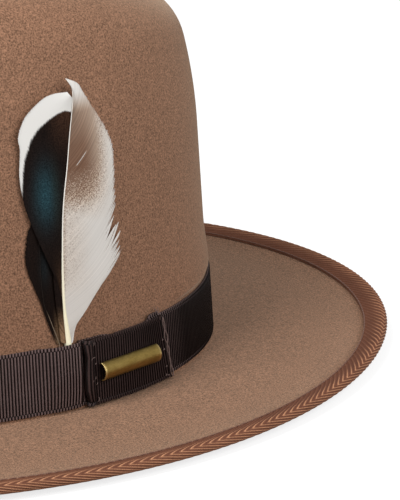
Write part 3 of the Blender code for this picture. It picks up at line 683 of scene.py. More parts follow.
class Finish:
    """A procedural finish on a Principled shader."""

    def __init__(self, name, colour, **sockets):
        self.material = bpy.data.materials.new(name)
        self.material.use_nodes = True
        self.material.diffuse_color = (*colour, 1.0)
        self.tree = self.material.node_tree
        self.shader = self.tree.nodes["Principled BSDF"]
        self.shader.inputs["Base Color"].default_value = (*colour, 1.0)
        for socket, value in sockets.items():
            title = socket.replace("_", " ").title().replace("Ior", "IOR")
            self.shader.inputs[title].default_value = value

    def node(self, kind, inputs, **settings):
        """A node with its settings, its inputs linked from sockets or set to values."""
        node = self.tree.nodes.new(kind)
        for setting, value in settings.items():
            setattr(node, setting, value)
        for name, value in inputs.items():
            if isinstance(value, bpy.types.NodeSocket):
                self.tree.links.new(value, node.inputs[name])
            else:
                node.inputs[name].default_value = value
        return node

    def noise(self, size, detail=2.0, stretch=(1.0, 1.0, 1.0)):
        """Noise from 0 to 1, with features of about a size."""
        coordinates = self.node("ShaderNodeTexCoord", {}).outputs["Object"]
        scale = [axis / size for axis in stretch]
        mapped = self.node("ShaderNodeMapping", {"Vector": coordinates, "Scale": scale}).outputs["Vector"]
        inputs = {"Vector": mapped, "Scale": 1.0, "Detail": detail}
        return self.node("ShaderNodeTexNoise", inputs).outputs["Fac"]

    def spread(self, value, low, high, low_out=0.0, high_out=1.0):
        """A value moved from one range to another, and kept in it."""
        inputs = {"Value": value, "From Min": low, "From Max": high, "To Min": low_out, "To Max": high_out}
        return self.node("ShaderNodeMapRange", inputs).outputs["Result"]

    def graded(self, noise, low=0.0, high=1.0):
        """Noise spread from low to high."""
        return self.spread(noise, *NOISE_RANGE, low, high)

    def math(self, operation, first, second):
        """A sum, product or other arithmetic of two values."""
        return self.node("ShaderNodeMath", {0: first, 1: second}, operation=operation).outputs[0]

    def mix(self, share, first, second, blend="MIX"):
        """Two colours mixed."""
        colours = [(*colour, 1.0) if isinstance(colour, tuple) else colour for colour in (first, second)]
        inputs = {0: share, 6: colours[0], 7: colours[1]}
        return self.node("ShaderNodeMix", inputs, data_type="RGBA", blend_type=blend).outputs[2]

    def tone(self, channel=None):
        """The tone of the mesh's points, or one channel of it."""
        colour = self.node("ShaderNodeAttribute", {}, attribute_name="tone").outputs["Color"]
        if channel is None:
            return colour
        return self.node("ShaderNodeSeparateColor", {"Color": colour}).outputs[channel]

    def shade(self, colour, amount):
        """A colour times a value."""
        grey = self.node("ShaderNodeCombineColor", {"Red": amount, "Green": amount, "Blue": amount})
        return self.mix(1.0, colour, grey.outputs["Color"], "MULTIPLY")

    def surface(self, colour, roughness=None, height=None, depth=0.0, strength=0.0):
        """Link what varies over the surface to the shader, and give back the material."""
        varied = {"Base Color": colour, "Roughness": roughness}
        if height is not None:
            inputs = {"Height": height, "Distance": depth, "Strength": strength}
            varied["Normal"] = self.node("ShaderNodeBump", inputs).outputs["Normal"]
        for socket, value in varied.items():
            if value is not None:
                self.tree.links.new(value, self.shader.inputs[socket])
        return self.material

    def grained(self, colour, grain, shades, depth, strength, clouds=(), roughness=None):
        """A surface with a fine grain, given as noise takes it, that shades the colour and stands up.

        Shades and roughness are what the grain spreads over. Clouds are (size, detail, low, high)."""
        fine = self.noise(*grain)
        amount = self.graded(fine, *shades)
        for size, detail, low, high in clouds:
            amount = self.math("MULTIPLY", amount, self.graded(self.noise(size, detail), low, high))
        if roughness is not None:
            roughness = self.graded(fine, *roughness)
        return self.surface(self.shade(colour, amount), roughness, fine, depth, strength)


def felt_finish():
    """Brushed fur felt: fine mottled nap, soft at grazing angles."""
    base = (0.222, 0.117, 0.071)
    look = Finish("fur_felt_nap", base, roughness=0.95, specular_ior_level=0.1, sheen_weight=0.40,
                  sheen_roughness=0.4, sheen_tint=(0.95, 0.78, 0.59, 1.0))
    clouds = [(0.0013, 3.0, 0.91, 1.09), (0.030, 2.0, 0.96, 1.04)]
    return look.grained(base, (0.00055,), (0.45, 1.55), 0.00030, 0.55, clouds)


def ribbon_finish(name, rib, ground, roughness):
    """Grosgrain: dark narrow ribs, the lighter ground between them, and fine threads across."""
    look = Finish(name, ground, roughness=roughness, specular_ior_level=0.15)
    colour = look.mix(look.tone("Red"), rib, ground)
    thread = (0.00030, 2.0, (1.0, 1.0, 1.6))
    return look.grained(colour, thread, (0.78, 1.22), 0.00008, 0.6, [(0.006, 3.0, 0.9, 1.1)])


def tape_finish():
    """Herringbone tape: the tone carries the twill's light cords and dark gaps; the light cords are partly
    painted highlights that fade away from the fold.
    """
    dark, light = (0.124, 0.048, 0.028), (0.510, 0.250, 0.136)
    look = Finish("binding_herringbone", light, roughness=0.7, specular_ior_level=0.1)
    colour = look.mix(look.tone("Red"), dark, light)
    return look.grained(colour, (0.00032,), (0.80, 1.20), 0.00010, 0.6, [(0.010, 2.0, 0.92, 1.08)])


def thread_finish(name, colour):
    """Sewing thread with a fine ply."""
    look = Finish(name, colour, roughness=0.65, specular_ior_level=0.35, sheen_weight=0.15)
    return look.grained(colour, (0.00025, 1.0), (0.75, 1.25), 0.00006, 0.7)


def brass_finish():
    """Antiqued brass: dark patina, rubbed bright where the tone says that it is an edge."""
    look = Finish("aged_brass_patina", (0.40, 0.27, 0.09), metallic=1.0)
    cloud = look.noise(0.0040)
    grain = look.noise(0.00035, 3.0, (0.35, 0.35, 1.0))
    patina = look.mix(look.graded(cloud), (0.270, 0.185, 0.052), (0.370, 0.260, 0.082))
    rubbed = look.mix(look.tone("Red"), patina, (0.700, 0.530, 0.230))
    colour = look.shade(rubbed, look.graded(grain, 0.86, 1.12))
    return look.surface(colour, look.graded(cloud, 0.44, 0.36), grain, 0.00003, 0.4)


def horn_finish():
    """The horn of the shafts, in the tone of its points."""
    look = Finish("feather_horn", (0.85, 0.78, 0.58), roughness=0.5, specular_ior_level=0.15)
    return look.grained(look.tone(), (0.0004,), (0.95, 1.03), 0.00004, 0.3)


def dark_barb_finish():
    """Dark barbs in the tone of their points, finely speckled except where they are white."""
    look = Finish("feather_dark_barbs", (0.012, 0.014, 0.015), roughness=0.7, specular_ior_level=0.05)
    fine = look.noise(0.00045)
    white = look.spread(look.tone("Red"), 0.05, 0.3)
    speckle = look.spread(fine, 0.32, 0.68, 0.45, 1.55)
    speckle = look.math("MULTIPLY", speckle, look.math("SUBTRACT", 1.0, white))
    colour = look.shade(look.tone(), look.math("ADD", speckle, white))
    return look.surface(colour, height=fine, depth=0.00004, strength=0.3)


def pale_barb_finish():
    """Pale barbs: the tone says how far they are grey-brown, how much that breaks up, and the streaks."""
    white, cream, grey = (0.690, 0.662, 0.625), (0.670, 0.545, 0.430), (0.180, 0.092, 0.055)
    look = Finish("feather_pale_barbs", white, roughness=0.8, specular_ior_level=0.2)
    field, share = look.tone("Red"), look.tone("Green")
    broken = look.spread(look.math("ADD", field, look.graded(look.noise(0.00042), -0.5, 0.5)), 0.2, 0.8)
    broken = look.math("MULTIPLY", broken, look.spread(field, 0.0, 0.25))
    whole = look.math("MULTIPLY", field, look.math("SUBTRACT", 1.0, share))
    amount = look.math("ADD", look.math("MULTIPLY", broken, share), whole)
    ground = look.mix(look.spread(field, 0.0, 0.6), white, cream)
    streak = look.spread(look.tone("Blue"), 0.0, 1.0, 0.84, 1.16)
    return look.surface(look.shade(look.mix(amount, ground, grey), streak))


def leather_finish():
    """Smooth sheepskin: fine pores and clouds of two browns."""
    look = Finish("sweatband_sheepskin", (0.135, 0.062, 0.031), specular_ior_level=0.4)
    cloud = look.graded(look.noise(0.012, 3.0))
    colour = look.mix(cloud, (0.105, 0.046, 0.022), (0.165, 0.078, 0.040))
    return look.grained(colour, (0.0007, 4.0), (0.85, 1.12), 0.00015, 0.5, roughness=(0.62, 0.46))


def satin_finish(name, base):
    """Lining satin: smooth with a lengthways lustre and slight cloudiness."""
    look = Finish(name, base, sheen_weight=0.15, sheen_roughness=0.3, anisotropic=0.4)
    thread = (0.0003, 2.0, (1.0, 1.0, 0.12))
    return look.grained(base, thread, (0.88, 1.10), 0.00005, 0.4, [(0.02, 2.0, 0.94, 1.06)], (0.42, 0.34))


def felt_swell(angle, height):
    """How far the felt stands out over the band, which it does not behind the trim."""
    place = np.interp(angle, ARC_ANGLES, ARC_DISTANCES)
    place = (place + ONCE_ROUND / 2) % ONCE_ROUND - ONCE_ROUND / 2
    beside = np.maximum(TRIM_SPAN[0] - place, place - TRIM_SPAN[1])
    over = height - RIBBON_TOP
    rise = smooth(over, *SWELL_RISE) * (1 - smooth(over, *SWELL_FALL))
    return FELT_SWELL * rise * smooth(beside, 0.0, TRIM_MARGIN)


def make_felt():
    """The felt body: a curled brim and a creased crown, blocked from one piece."""
    angle = turn_angles(288)
    curl = brim_span(angle)[2] - BRIM_FLAT
    rows = [brim(angle, FOLD_INSET + (curl - FOLD_INSET) * share) for share in shares(28)]
    rows += [brim(angle, curl + BRIM_FLAT * share) for share in shares(8)[1:]]
    for turn in np.linspace(0, QUARTER_TURN, 6)[1:-1]:
        height = FELT_THICKNESS + BREAK_RADIUS * (1 - math.cos(turn))
        rows.append(wall_at(angle, height, BREAK_RADIUS * (1 - math.sin(turn))))
    low_top = RIBBON_TOP + SWELL_FALL[1]
    low = np.concatenate([np.linspace(WALL_FOOT, RIBBON_TOP, 10), RIBBON_TOP + SWELL_ROWS,
                          np.linspace(RIBBON_TOP + SWELL_FALL_ROWS_START, low_top, 8)])
    rows += [wall_at(angle, height, felt_swell(angle, height)) for height in low]
    start = wall_share(low_top, angle)
    rows += [crown("wall", start + (1 - start) * share, angle) for share in shares(34)[1:]]
    rows += [crown("shoulder", share, angle) for share in shares(13)[1:]]
    rows += [crown("crease", share, angle) for share in shares(30)[1:]]
    rows += [rows[-1] * np.array([narrow, 1.0, 1.0]) for narrow in (0.6, 0.2)]
    creased(rows).place("felt", felt_finish(), "fur_felt", "felt_body", thickness=FELT_THICKNESS)


def make_binding():
    """The herringbone tape folded over the edge of the brim, with the stitches of its seam."""
    cord = np.tile(CORD_PROFILE, round(RIM_LENGTH / HERRINGBONE_PITCH))[:, None]
    fold_radius = FELT_THICKNESS / 2 + CLEARANCE
    flat = BINDING_WIDTH - FOLD_INSET
    fold = math.pi * (fold_radius + BINDING_THICKNESS)
    across = np.concatenate([TAPE_EDGE_ROWS, np.linspace(TAPE_ROWS_START, flat / MILLIMETRE, 9)])
    across = across * MILLIMETRE
    turns = np.linspace(0.0, math.pi, 14)[1:-1]
    side = BINDING_WIDTH - across
    inward = np.concatenate([side, np.full_like(turns, FOLD_INSET), side[::-1]])
    turn = np.concatenate([np.zeros_like(across), turns, np.full_like(across, math.pi)])
    distance = np.concatenate([across, flat + turns / math.pi * fold, flat + fold + flat - across[::-1]])
    spine = np.abs(distance - flat - HERRINGBONE_SPINE * fold)
    slant = np.where(distance < flat + HERRINGBONE_SPINE * fold, *HERRINGBONE_SLANT)
    angle = turn_angles(len(cord))[:, None] + slant * spine * FULL_TURN / RIM_LENGTH
    border = np.minimum(distance, 2 * flat + fold - distance)
    edge = smooth(border, 0.0, TAPE_EDGE_ROUND)
    weave = smooth(border, 0.5 * TAPE_SELVEDGE, TAPE_SELVEDGE)
    fibre = np.random.default_rng(3).uniform(*TAPE_FIBRE, (len(cord), len(turn)))
    fuzz = (1 - weave) * TAPE_FUZZ * fibre
    reach = fold_radius + BINDING_THICKNESS * edge + HERRINGBONE_RELIEF * (cord * weave + fuzz - 0.5) * edge
    outer = brim(angle, inward, reach * np.cos(turn) - FELT_THICKNESS / 2, reach * np.sin(turn))
    back = slice(None, None, -4)
    inner_lift = fold_radius * np.cos(turn[back]) - FELT_THICKNESS / 2
    inner = brim(angle[:, back], inward[back], inner_lift, fold_radius * np.sin(turn[back]))
    # The light cords are partly the twill's own pattern and partly painted highlights; away from the fold
    # they fade to dark, a painted loss of highlight on the flat faces.
    edge_falloff = 1 - TAPE_HIGHLIGHT_FADE * smooth(spine, *TAPE_HIGHLIGHT_FADE_SPAN)
    light = (cord ** 3 * weave * edge_falloff + TAPE_FUZZ_TONE * (1 - weave)) * fibre
    tones = np.concatenate([np.clip(light, 0, 1), np.full(inner.shape[:2], HIDDEN_TONE)], axis=1)
    shape = Shape()
    shape.sweep(np.concatenate([outer, inner], axis=1), tones, loop=True)
    tape = shape.place("binding", tape_finish(), "binding_tape", "brim_binding")
    length = loop_length(brim(turn_angles(720), FOLD_INSET))

    finish = thread_finish("binding_seam_thread", (0.150, 0.064, 0.038))
    angle, share = stitch_angles(round(length / STITCH_PITCH), STITCH_GAP)
    middle = -FELT_THICKNESS / 2
    over = CLEARANCE + BINDING_THICKNESS + HERRINGBONE_RELIEF * 0.4
    arch = np.sin(math.pi * share) * STITCH_ARCH * THREAD_RADIUS
    for name, side, node in (("binding_stitches_top", 1, "binding_top_thread"),
                             ("binding_stitches_under", -1, "binding_bobbin_thread")):
        lift = middle + side * (over - middle + arch - STITCH_SINK * THREAD_RADIUS)
        paths = brim(angle, BINDING_WIDTH - BINDING_SEAM_INSET, lift)
        seam = Shape()
        seam.sweep(strands(paths, THREAD_RADIUS, np.array([0.0, 0.0, 1.0])))
        seam.place(name, finish, "binding_thread", node)


def rib_places(length, pitch):
    """Places along a ribbon, several to each rib, and the count of ribs up to each place."""
    count = round(length / pitch)
    ribs = (np.arange(count)[:, None] + RIB_SAMPLES).ravel()
    return ribs * length / count, ribs


def ribbed(place, level, height, ribs):
    """A grosgrain ribbon through its middle surface, whose tones are those of its ribs.

    The arrays run along the ribbon and then up it, and ribs counts the ribs along it."""
    middle = wall(place, height, level)
    normal = unit(np.cross(np.gradient(middle, axis=0), np.gradient(middle, axis=1)))
    edge = np.minimum(RIBBON_ROWS, RIBBON_HEIGHT - RIBBON_ROWS)
    phase = ribs[:, None] + 0.5 * (edge < SELVEDGE)
    beside = np.abs(phase % 1.0 - 0.5)
    groove = smooth(np.abs(edge - SELVEDGE), *SELVEDGE_GROOVE)
    ridge = 1.0 - smooth(beside, *RIB_HALF_WIDTH)
    ridge = ridge * groove * (0.4 + 0.6 * smooth(edge, 0.0, SELVEDGE_ROUND))
    front = middle + normal * (RIBBON_THICKNESS / 2 + RIB_RELIEF * (ridge - RIB_MEAN))[..., None]
    rear = slice(None, None, -6)
    back = middle[:, rear] - normal[:, rear] * (RIBBON_THICKNESS / 2)
    ground = smooth(beside, *RIB_GROUND) * groove
    shape = Shape()
    shape.sweep(np.concatenate([front, back], axis=1),
                np.concatenate([ground, np.full(back.shape[:2], HIDDEN_TONE)], axis=1))
    return shape


def pocket(place):
    """How far the band stands out over the quills at places along it: a long swell and a steep end."""
    swell = smooth(place, POCKET_START - POCKET_SWELL, POCKET_START)
    return POCKET_DEPTH * swell * (1.0 - smooth(place, POCKET_END, POCKET_END + POCKET_FALL))


def make_band():
    """The ribbon, wound once round the crown with its end lapped over its start."""
    length = ONCE_ROUND + BAND_OVER_END - BAND_UNDER_END
    places, ribs = rib_places(length, BAND_RIB)
    place = (BAND_UNDER_END + places)[:, None]
    lap = smooth(place, ONCE_ROUND + LAP_START, ONCE_ROUND + LAP_START + LAP_RAMP)
    tab = smooth(place, ONCE_ROUND + LAP_TAB_START, ONCE_ROUND + LAP_TAB_START + LAP_TAB_RAMP)
    under = 1 - smooth(place, KEEPER_END - LAP_TUCK_SPAN[0], KEEPER_END - LAP_TUCK_SPAN[1])
    rise = LAP_END_RISE * tab - LAP_TUCK * (lap * (1 - tab) + under)
    swell = np.interp(RIBBON_ROWS / RIBBON_HEIGHT, *POCKET_BY_HEIGHT)
    level = CLEARANCE + RIBBON_THICKNESS / 2 + lap * RIBBON_LAYER + swell * pocket(place - ONCE_ROUND)
    shape = ribbed(place, level, RIBBON_BOTTOM + RIBBON_ROWS + rise, ribs)
    finish = ribbon_finish("band_grosgrain", (0.0050, 0.0027, 0.0025), (0.150, 0.102, 0.097), 0.42)
    band = shape.place("band", finish, "grosgrain_ribbon", "ribbon_band")


def keeper_path():
    """The keeper seen from above, from one folded end to the other, as (place, level)."""
    radius = RIBBON_LAYER / 2
    middle = KEEPER_INNER_LEVEL + radius
    turn = np.linspace(0.0, math.pi, 15)
    out, up = radius * np.sin(turn), radius * np.cos(turn)
    start = np.array([[KEEPER_START + KEEPER_FRONT_FOLD, KEEPER_INNER_LEVEL]])
    front = np.stack([KEEPER_START + radius - out, middle - up], axis=-1)
    rear = np.stack([KEEPER_END - radius + out, middle + up], axis=-1)
    end = np.array([[KEEPER_END - KEEPER_REAR_FOLD, KEEPER_INNER_LEVEL]])
    return np.concatenate([start, front, rear, end])


def make_keeper():
    """The short ribbon laid over the lap, with both ends folded under and sewn down."""
    path = keeper_path()
    lengths = run_lengths(path)
    places, ribs = rib_places(lengths[-1], KEEPER_RIB)
    place, level = (np.interp(places, lengths, column)[:, None] for column in path.T)
    outer = smooth(level, KEEPER_INNER_LEVEL, KEEPER_OUTER_LEVEL)
    puff = np.abs(np.sin(math.pi * (RIBBON_ROWS - KEEPER_SCALLOP_START) / KEEPER_SCALLOP)) ** 0.7
    front = 1.0 - smooth(place, KEEPER_START, KEEPER_START + KEEPER_SCALLOP_RUN)
    rear = smooth(place, KEEPER_END - KEEPER_SLANT_RUN, KEEPER_END)
    roll = bell(place, KEEPER_START + KEEPER_PUFF_PLACE, KEEPER_PUFF_SPREAD)
    ridge = bell(place, KEEPER_END - KEEPER_RIDGE_PLACE, KEEPER_RIDGE_SPREAD)
    level = level + outer * (KEEPER_PUFF * (0.3 + 0.9 * puff) * roll + KEEPER_REAR_RIDGE * ridge)
    place = place - KEEPER_SCALLOP_DEPTH * (puff - 0.5) * front
    place = place - KEEPER_SLANT * (RIBBON_ROWS / RIBBON_HEIGHT - 0.5) * rear
    shape = ribbed(place, level, RIBBON_BOTTOM + RIBBON_ROWS, ribs)
    finish = ribbon_finish("keeper_grosgrain", (0.0050, 0.0027, 0.0025), (0.046, 0.027, 0.025), 0.50)
    keeper = shape.place("keeper_ribbon", finish, "keeper_ribbon", "keeper")


def make_keeper_threads():
    """The hand stitches: pinched ties along the front fold, and a twisted pair along the rear fold."""
    finish = thread_finish("keeper_thread", (0.130, 0.085, 0.075))
    outward = np.array([1.0, 0.25, 0.0])
    random = np.random.default_rng(5)
    step = shares(13)
    arch = np.sin(math.pi * step)
    front, rear = Shape(), Shape()

    def sew(shape, place, height, level, thickness):
        """Add a thread along a path, with its thickness as a share of the usual one."""
        shape.sweep(strands(wall(place, height, level)[None], thickness * THREAD_RADIUS, outward))

    for tie in range(1, 3):
        height = RIBBON_BOTTOM + KEEPER_SCALLOP_START + tie * KEEPER_SCALLOP
        slant = TIE_SLANT * (step - 0.5) + TIE_WAVER * np.sin(9.0 * step + tie)
        level = KEEPER_FACE + TIE_LIFT + TIE_ARCH * arch - TIE_SINK * (1 - smooth(step, 0.0, 0.25))
        sew(front, KEEPER_START + TIE_PLACE + TIE_LENGTH * step, height + slant, level, FRONT_THREAD)
    level = KEEPER_FACE + FRONT_STITCH_LIFT + FRONT_STITCH_ARCH * arch
    for height in RIBBON_BOTTOM + FRONT_STITCHES * MILLIMETRE:
        place = KEEPER_START + FRONT_STITCH_PLACE + random.uniform(-FRONT_STITCH_STRAY, FRONT_STITCH_STRAY)
        slant = random.uniform(*FRONT_STITCH_LENGTHS) * (step - 0.5)
        sew(front, place + FRONT_STITCH_LEAN * step, height + slant, level, FRONT_THREAD)
    front.place("keeper_stitches_front", finish, "ribbon_thread", "keeper_thread_front")

    run = shares(90)
    height = RIBBON_BOTTOM + PAIR_INSETS[0] + (RIBBON_HEIGHT - PAIR_INSETS[1]) * run
    for strand in (0.0, math.pi):
        twist = FULL_TURN * run * PAIR_TWISTS + strand
        place = KEEPER_END - PAIR_PLACE - KEEPER_SLANT * (run - 0.5) + PAIR_SWING * np.sin(twist)
        place += PAIR_WAVER * np.sin(7.0 * run + strand)
        level = KEEPER_FACE + KEEPER_REAR_RIDGE + PAIR_LIFT + PAIR_DEPTH * np.cos(twist)
        sew(rear, place, height, level, 1.0)
    for place, rise in REAR_STITCHES:
        place = place * MILLIMETRE + REAR_STITCH_LENGTH * (step - 0.5)
        height = rise * MILLIMETRE + REAR_STITCH_LEAN * step
        sew(rear, place, height, KEEPER_FACE + REAR_STITCH_ARCH * arch, REAR_THREAD)
    for fray, reach in enumerate(FRAY_LENGTHS):
        place = KEEPER_END - KEEPER_SLANT / 2 - FRAY_PLACE + FRAY_PITCH * fray
        height = RIBBON_TOP + FRAY_LIFT + reach * MILLIMETRE * step
        level = KEEPER_INNER_LEVEL + FRAY_WAVER * np.sin(3.0 * step + fray)
        sew(rear, place + FRAY_SPREAD * step * (fray - 0.6), height, level, FRAY_THREAD)
    rear.place("keeper_stitches_rear", finish, "ribbon_thread", "keeper_thread_rear")


def make_plate():
    """The bare arched bar of aged brass at the middle of the keeper, open at its ends."""
    angle = float(angle_at(KEEPER_START + KEEPER_LENGTH / 2 + PLATE_SHIFT))
    height = RIBBON_BOTTOM + RIBBON_HEIGHT / 2
    level = KEEPER_FACE + CLEARANCE
    middle = wall_at(angle, height, level)
    along = unit(wall_at(angle + 0.01, height, level) - middle)
    upward = unit(wall_at(angle, height + PLATE_WIDTH, level) - middle)
    outward = np.cross(along, upward)
    radius = PLATE_WIDTH ** 2 / (8 * PLATE_RISE) + PLATE_RISE / 2
    half_arch = math.atan2(PLATE_WIDTH / 2, radius - PLATE_RISE)
    end_tone, side_tone, inner_tone = PLATE_TONES
    from_end = np.concatenate([PLATE_BEVEL * BEVEL_PROFILE[::-1], PLATE_ROWS])
    reach = np.concatenate([PLATE_LENGTH / 2 - from_end, [0.0], from_end[::-1] - PLATE_LENGTH / 2])[:, None]
    level_rows = np.zeros(2 * len(PLATE_ROWS) + 1)
    edge_falloff = np.concatenate([BEVEL_PROFILE, level_rows, BEVEL_PROFILE[::-1]])[:, None]
    rim = bell(PLATE_LENGTH / 2 - np.abs(reach), 0.0, PLATE_RUBBED_END)
    turn = np.linspace(-half_arch, half_arch, 25)
    from_side = half_arch - np.abs(turn)
    bevel = np.maximum(edge_falloff, 1.0 - smooth(from_side, 0.0, PLATE_SIDE_BEVEL))
    rubbed = np.maximum(end_tone * rim, side_tone * bell(from_side, 0.0, PLATE_RUBBED_SIDE))
    inner_turn = turn[::-2]
    inner = np.ones(len(inner_turn))
    radii = np.concatenate([radius + PLATE_WALL - PLATE_BEVEL * bevel,
                            (radius + PLATE_BEVEL * 0.5 * edge_falloff) * inner], axis=1)
    turns = np.concatenate([turn, inner_turn])
    sideways = (radii * np.sin(turns))[..., None] * upward
    forward = (radii * np.cos(turns) - radius + PLATE_RISE)[..., None] * outward
    shape = Shape()
    shape.sweep(middle + sideways + forward + reach[..., None] * along,
                np.concatenate([rubbed, inner_tone * rim * inner], axis=1))
    shape.place("brass_bar", brass_finish(), "aged_brass", "trim_plate")


class Feather:
    """One feather: a tapering shaft and, on each side of it, a row of barbs that lap like shingles."""

    def __init__(self, body, shaft, level, seed):
        self.body = body
        self.shaft = curve_through(shaft, 400) * MILLIMETRE
        self.level = level
        self.random = np.random.default_rng(seed)

    def make_quill(self, radii, levels, tones, finish, node):
        """The shaft, from its end in the pocket of the band to its tip; sizes and tones go by height."""
        depth = np.linspace(1.0, 0.0, 12)[:-1, None]
        below = self.shaft[0] + depth * np.array([QUILL_SLANT, -QUILL_DEPTH])
        line = np.vstack([below, spaced(self.shaft, 90)])
        radius = by_height(line[:, 1], radii)
        radius[:4] *= QUILL_END
        level = by_height(line[:, 1], levels)
        turn = np.linspace(0.0, FULL_TURN, 12, endpoint=False)
        direction = unit(np.gradient(line, axis=0))
        side = np.stack([direction[:, 1], -direction[:, 0]], axis=-1)
        offset = radius[:, None] * np.cos(turn)
        spot = line[:, None] + offset[..., None] * side[:, None]
        out = QUILL_FLATNESS * radius[:, None] * np.sin(turn)
        low, high, low_tone, high_tone = tones
        fade = smooth(line[:, 1] / MILLIMETRE, low, high)[:, None] * np.ones(len(turn))
        shape = Shape()
        shape.sweep(sheet(spot[..., 0], spot[..., 1], level[:, None] + out),
                    blended(np.array(low_tone), np.array(high_tone), fade)[None])
        shape.place(node + "_shaft", finish, "feather_quill", node, self.body)

    def make_vane(self, outline, side, tone, finish, slot, node, ragged, arch=BARB_ARCH, wisps=NO_WISPS):
        """A row of barbs from the shaft to an outline, with tones from a function.

        Wisps are how far the tips draw together in tufts, at what height most, and how far from there."""
        edge = curve_through(outline, 1200) * MILLIMETRE
        travel = (np.linalg.norm(np.diff(edge[:, :2], axis=0), axis=1) + np.abs(np.diff(edge[:, 2]))) / 2
        lengths = np.concatenate([[0.0], np.cumsum(travel)])
        count = int(lengths[-1] / BARB_PITCH)
        wanted = np.linspace(0.0, lengths[-1], count)
        tip_place, tip_above, root_above = (np.interp(wanted, lengths, column) for column in edge.T)
        root_place = np.interp(root_above, self.shaft[:, 1], self.shaft[:, 0])
        tips = np.stack([tip_place, tip_above], axis=-1)
        strength, middle, spread = wisps
        loose = strength * bell(tip_above / MILLIMETRE, middle, spread)
        sizes = self.random.integers(*WISP_BARBS, count)
        tuft = np.repeat(np.arange(count), sizes)[:count]
        centre = np.minimum(np.cumsum(sizes) - sizes + sizes // 2, count - 1)[tuft]
        pull = (tips[centre] - tips) * loose[:, None]
        reach = self.random.normal(0.0, WISP_REACH, count)[tuft]
        uneven = self.random.normal(0.0, ragged, count) * (1.0 + WISP_RAGGED * loose)
        stretch = 1.0 + uneven + loose * reach
        start = np.stack([root_place, root_above], axis=-1)[:, None]
        end = start + (tips[:, None] - start) * stretch[:, None, None]
        bend = start + (end - start) * BARB_BEND
        share = shares(BARB_POINTS)[None, :]
        part = share[..., None]
        line = start * (1 - part) ** 2 + 2 * bend * part * (1 - part) + end * part ** 2
        line = line + pull[:, None] * smooth(part, WISP_START, 1.0)
        beside = np.gradient(line, axis=0)
        direction = unit(np.gradient(line, axis=1))
        square = np.stack([-direction[..., 1], direction[..., 0]], axis=-1)
        spacing = np.abs((beside * square).sum(-1)) + BARB_SLACK
        spacing = np.clip(np.minimum(np.linalg.norm(beside, axis=-1), spacing), *BARB_SPACING)
        width = spacing * BARB_HALF_WIDTH * (1.0 - BARB_TAPER * smooth(share, BARB_TAPER_START, 1.0))
        width = width * (1.0 - BARB_TAPER * loose[:, None] * smooth(share, WISP_TAPER_START, 1.0))
        level = self.level + arch * np.sin(math.pi * share) ** BARB_ARCH_POWER
        tilt, thick = side * BARB_TILT, BARB_HALF_THICKNESS
        sections = []
        for across, lift in ((-1.0, -tilt), (0.0, thick), (1.0, tilt), (0.0, -thick)):
            spot = line + square * (across * width)[..., None]
            sections.append(sheet(spot[..., 0], spot[..., 1], level + lift))
        jitter = self.random.normal(0.0, 1.0, (count, 1)) * np.ones(BARB_POINTS)
        place, above = np.moveaxis(line / MILLIMETRE, -1, 0)
        rooted = (root_above / MILLIMETRE)[:, None]
        tones = np.clip(tone(place, above, share, rooted, jitter), 0.0, 1.0)
        shape = Shape()
        shape.sweep(np.stack(sections, axis=2), np.repeat(tones[:, :, None], len(sections), axis=2))
        shape.place(node + "_barbs", finish, slot, node, self.body)


def patch(place, above, area):
    """A soft oval patch on a vane; the area is a middle and a spread along the band, then up."""
    middle, spread, height, rise = area
    return np.exp(-((place - middle) / spread) ** 2 - ((above - height) / rise) ** 2)


def low_brown(place, above, jitter):
    """How brown the dark barbs are close over the band, beside the quill."""
    beside = smooth(place, 11.0, 14.2) * (1 - smooth(above, 3.0, 15.0))
    return beside * np.clip(0.9 + 0.2 * jitter, 0.0, 1.0)


def dark_tone(place, above, share, rooted, jitter):
    """The dark vane: near black, a teal patch of painted iridescent sheen, brown low down and a white band
    round its tip.
    """
    line_place, line_above = WHITE_TIP_LINE.T
    steep = np.interp(place, line_place, np.gradient(line_above, line_place))
    inside = (above - np.interp(place, line_place, line_above)) / np.hypot(1.0, steep)
    # Painted iridescent sheen: a teal patch that turns green at larger places along the band
    teal = 0.9 * patch(place, above, IRIDESCENT_PATCH)
    shaft_brown = (1 - smooth(share, 0.0, 0.35)) * (1 - smooth(above, 14.0, 36.0))
    rim_tan = smooth(share, 0.955, 0.985) * bell(above, 36.0, 6.0)
    colour = DARK_BARB
    for other, amount in ((UPPER_BARB, smooth(place, 11.0, 20.0) * smooth(above, 62.0, 80.0)),
                          (SHAFT_BARB, shaft_brown),
                          (BROWN_BARB, low_brown(place, above, jitter)),
                          (IRIDESCENT_TEAL_BARB, teal),
                          (IRIDESCENT_GREEN_BARB, teal * smooth(place, 12.0, 16.0)),
                          (TAN_BARB, 0.6 * rim_tan),
                          (TIP_BARB, smooth(inside - 0.05 * jitter, -0.25, 0.25))):
        colour = blended(colour, other, amount)
    return colour


def pale_tone(place, above, share, rooted, jitter):
    """The pale vane as field, speckle and streak: white, with a grey-brown field that breaks up."""
    field = np.interp(above, PALE_FIELD_HEIGHTS, PALE_FIELD_SHARES) * (1 - smooth(place, 26.0, 41.0))
    sparse = 0.24 * (1 - smooth(share, 0.01, 0.07)) + 0.20 * (1 - smooth(share, 0.08, 0.55))
    field = np.maximum(field, sparse * smooth(above, 12.0, 26.0))
    split = np.abs(rooted - SPLIT_ROOT) < SPLIT_HALF_WIDTH
    split = split * smooth(share, 0.22, 0.26) * (1 - smooth(share, 0.46, 0.52))
    speckle = np.maximum(1 - smooth(above, 54.0, 64.0), smooth(place, 31.0, 36.0))
    streak = 0.5 + (0.10 + 0.35 * field) * jitter
    return np.stack([field * (1 - split), 0.8 * speckle, streak], axis=-1)


def rear_tone(place, above, share, rooted, jitter):
    """The feather behind: near black with a trace of teal, which is painted iridescent sheen, and brown low
    down.
    """
    teal = 0.15 * patch(place, above, REAR_IRIDESCENT_PATCH)
    return blended(blended(DARK_BARB, IRIDESCENT_TEAL_BARB, teal), BROWN_BARB, low_brown(place, above, jitter))


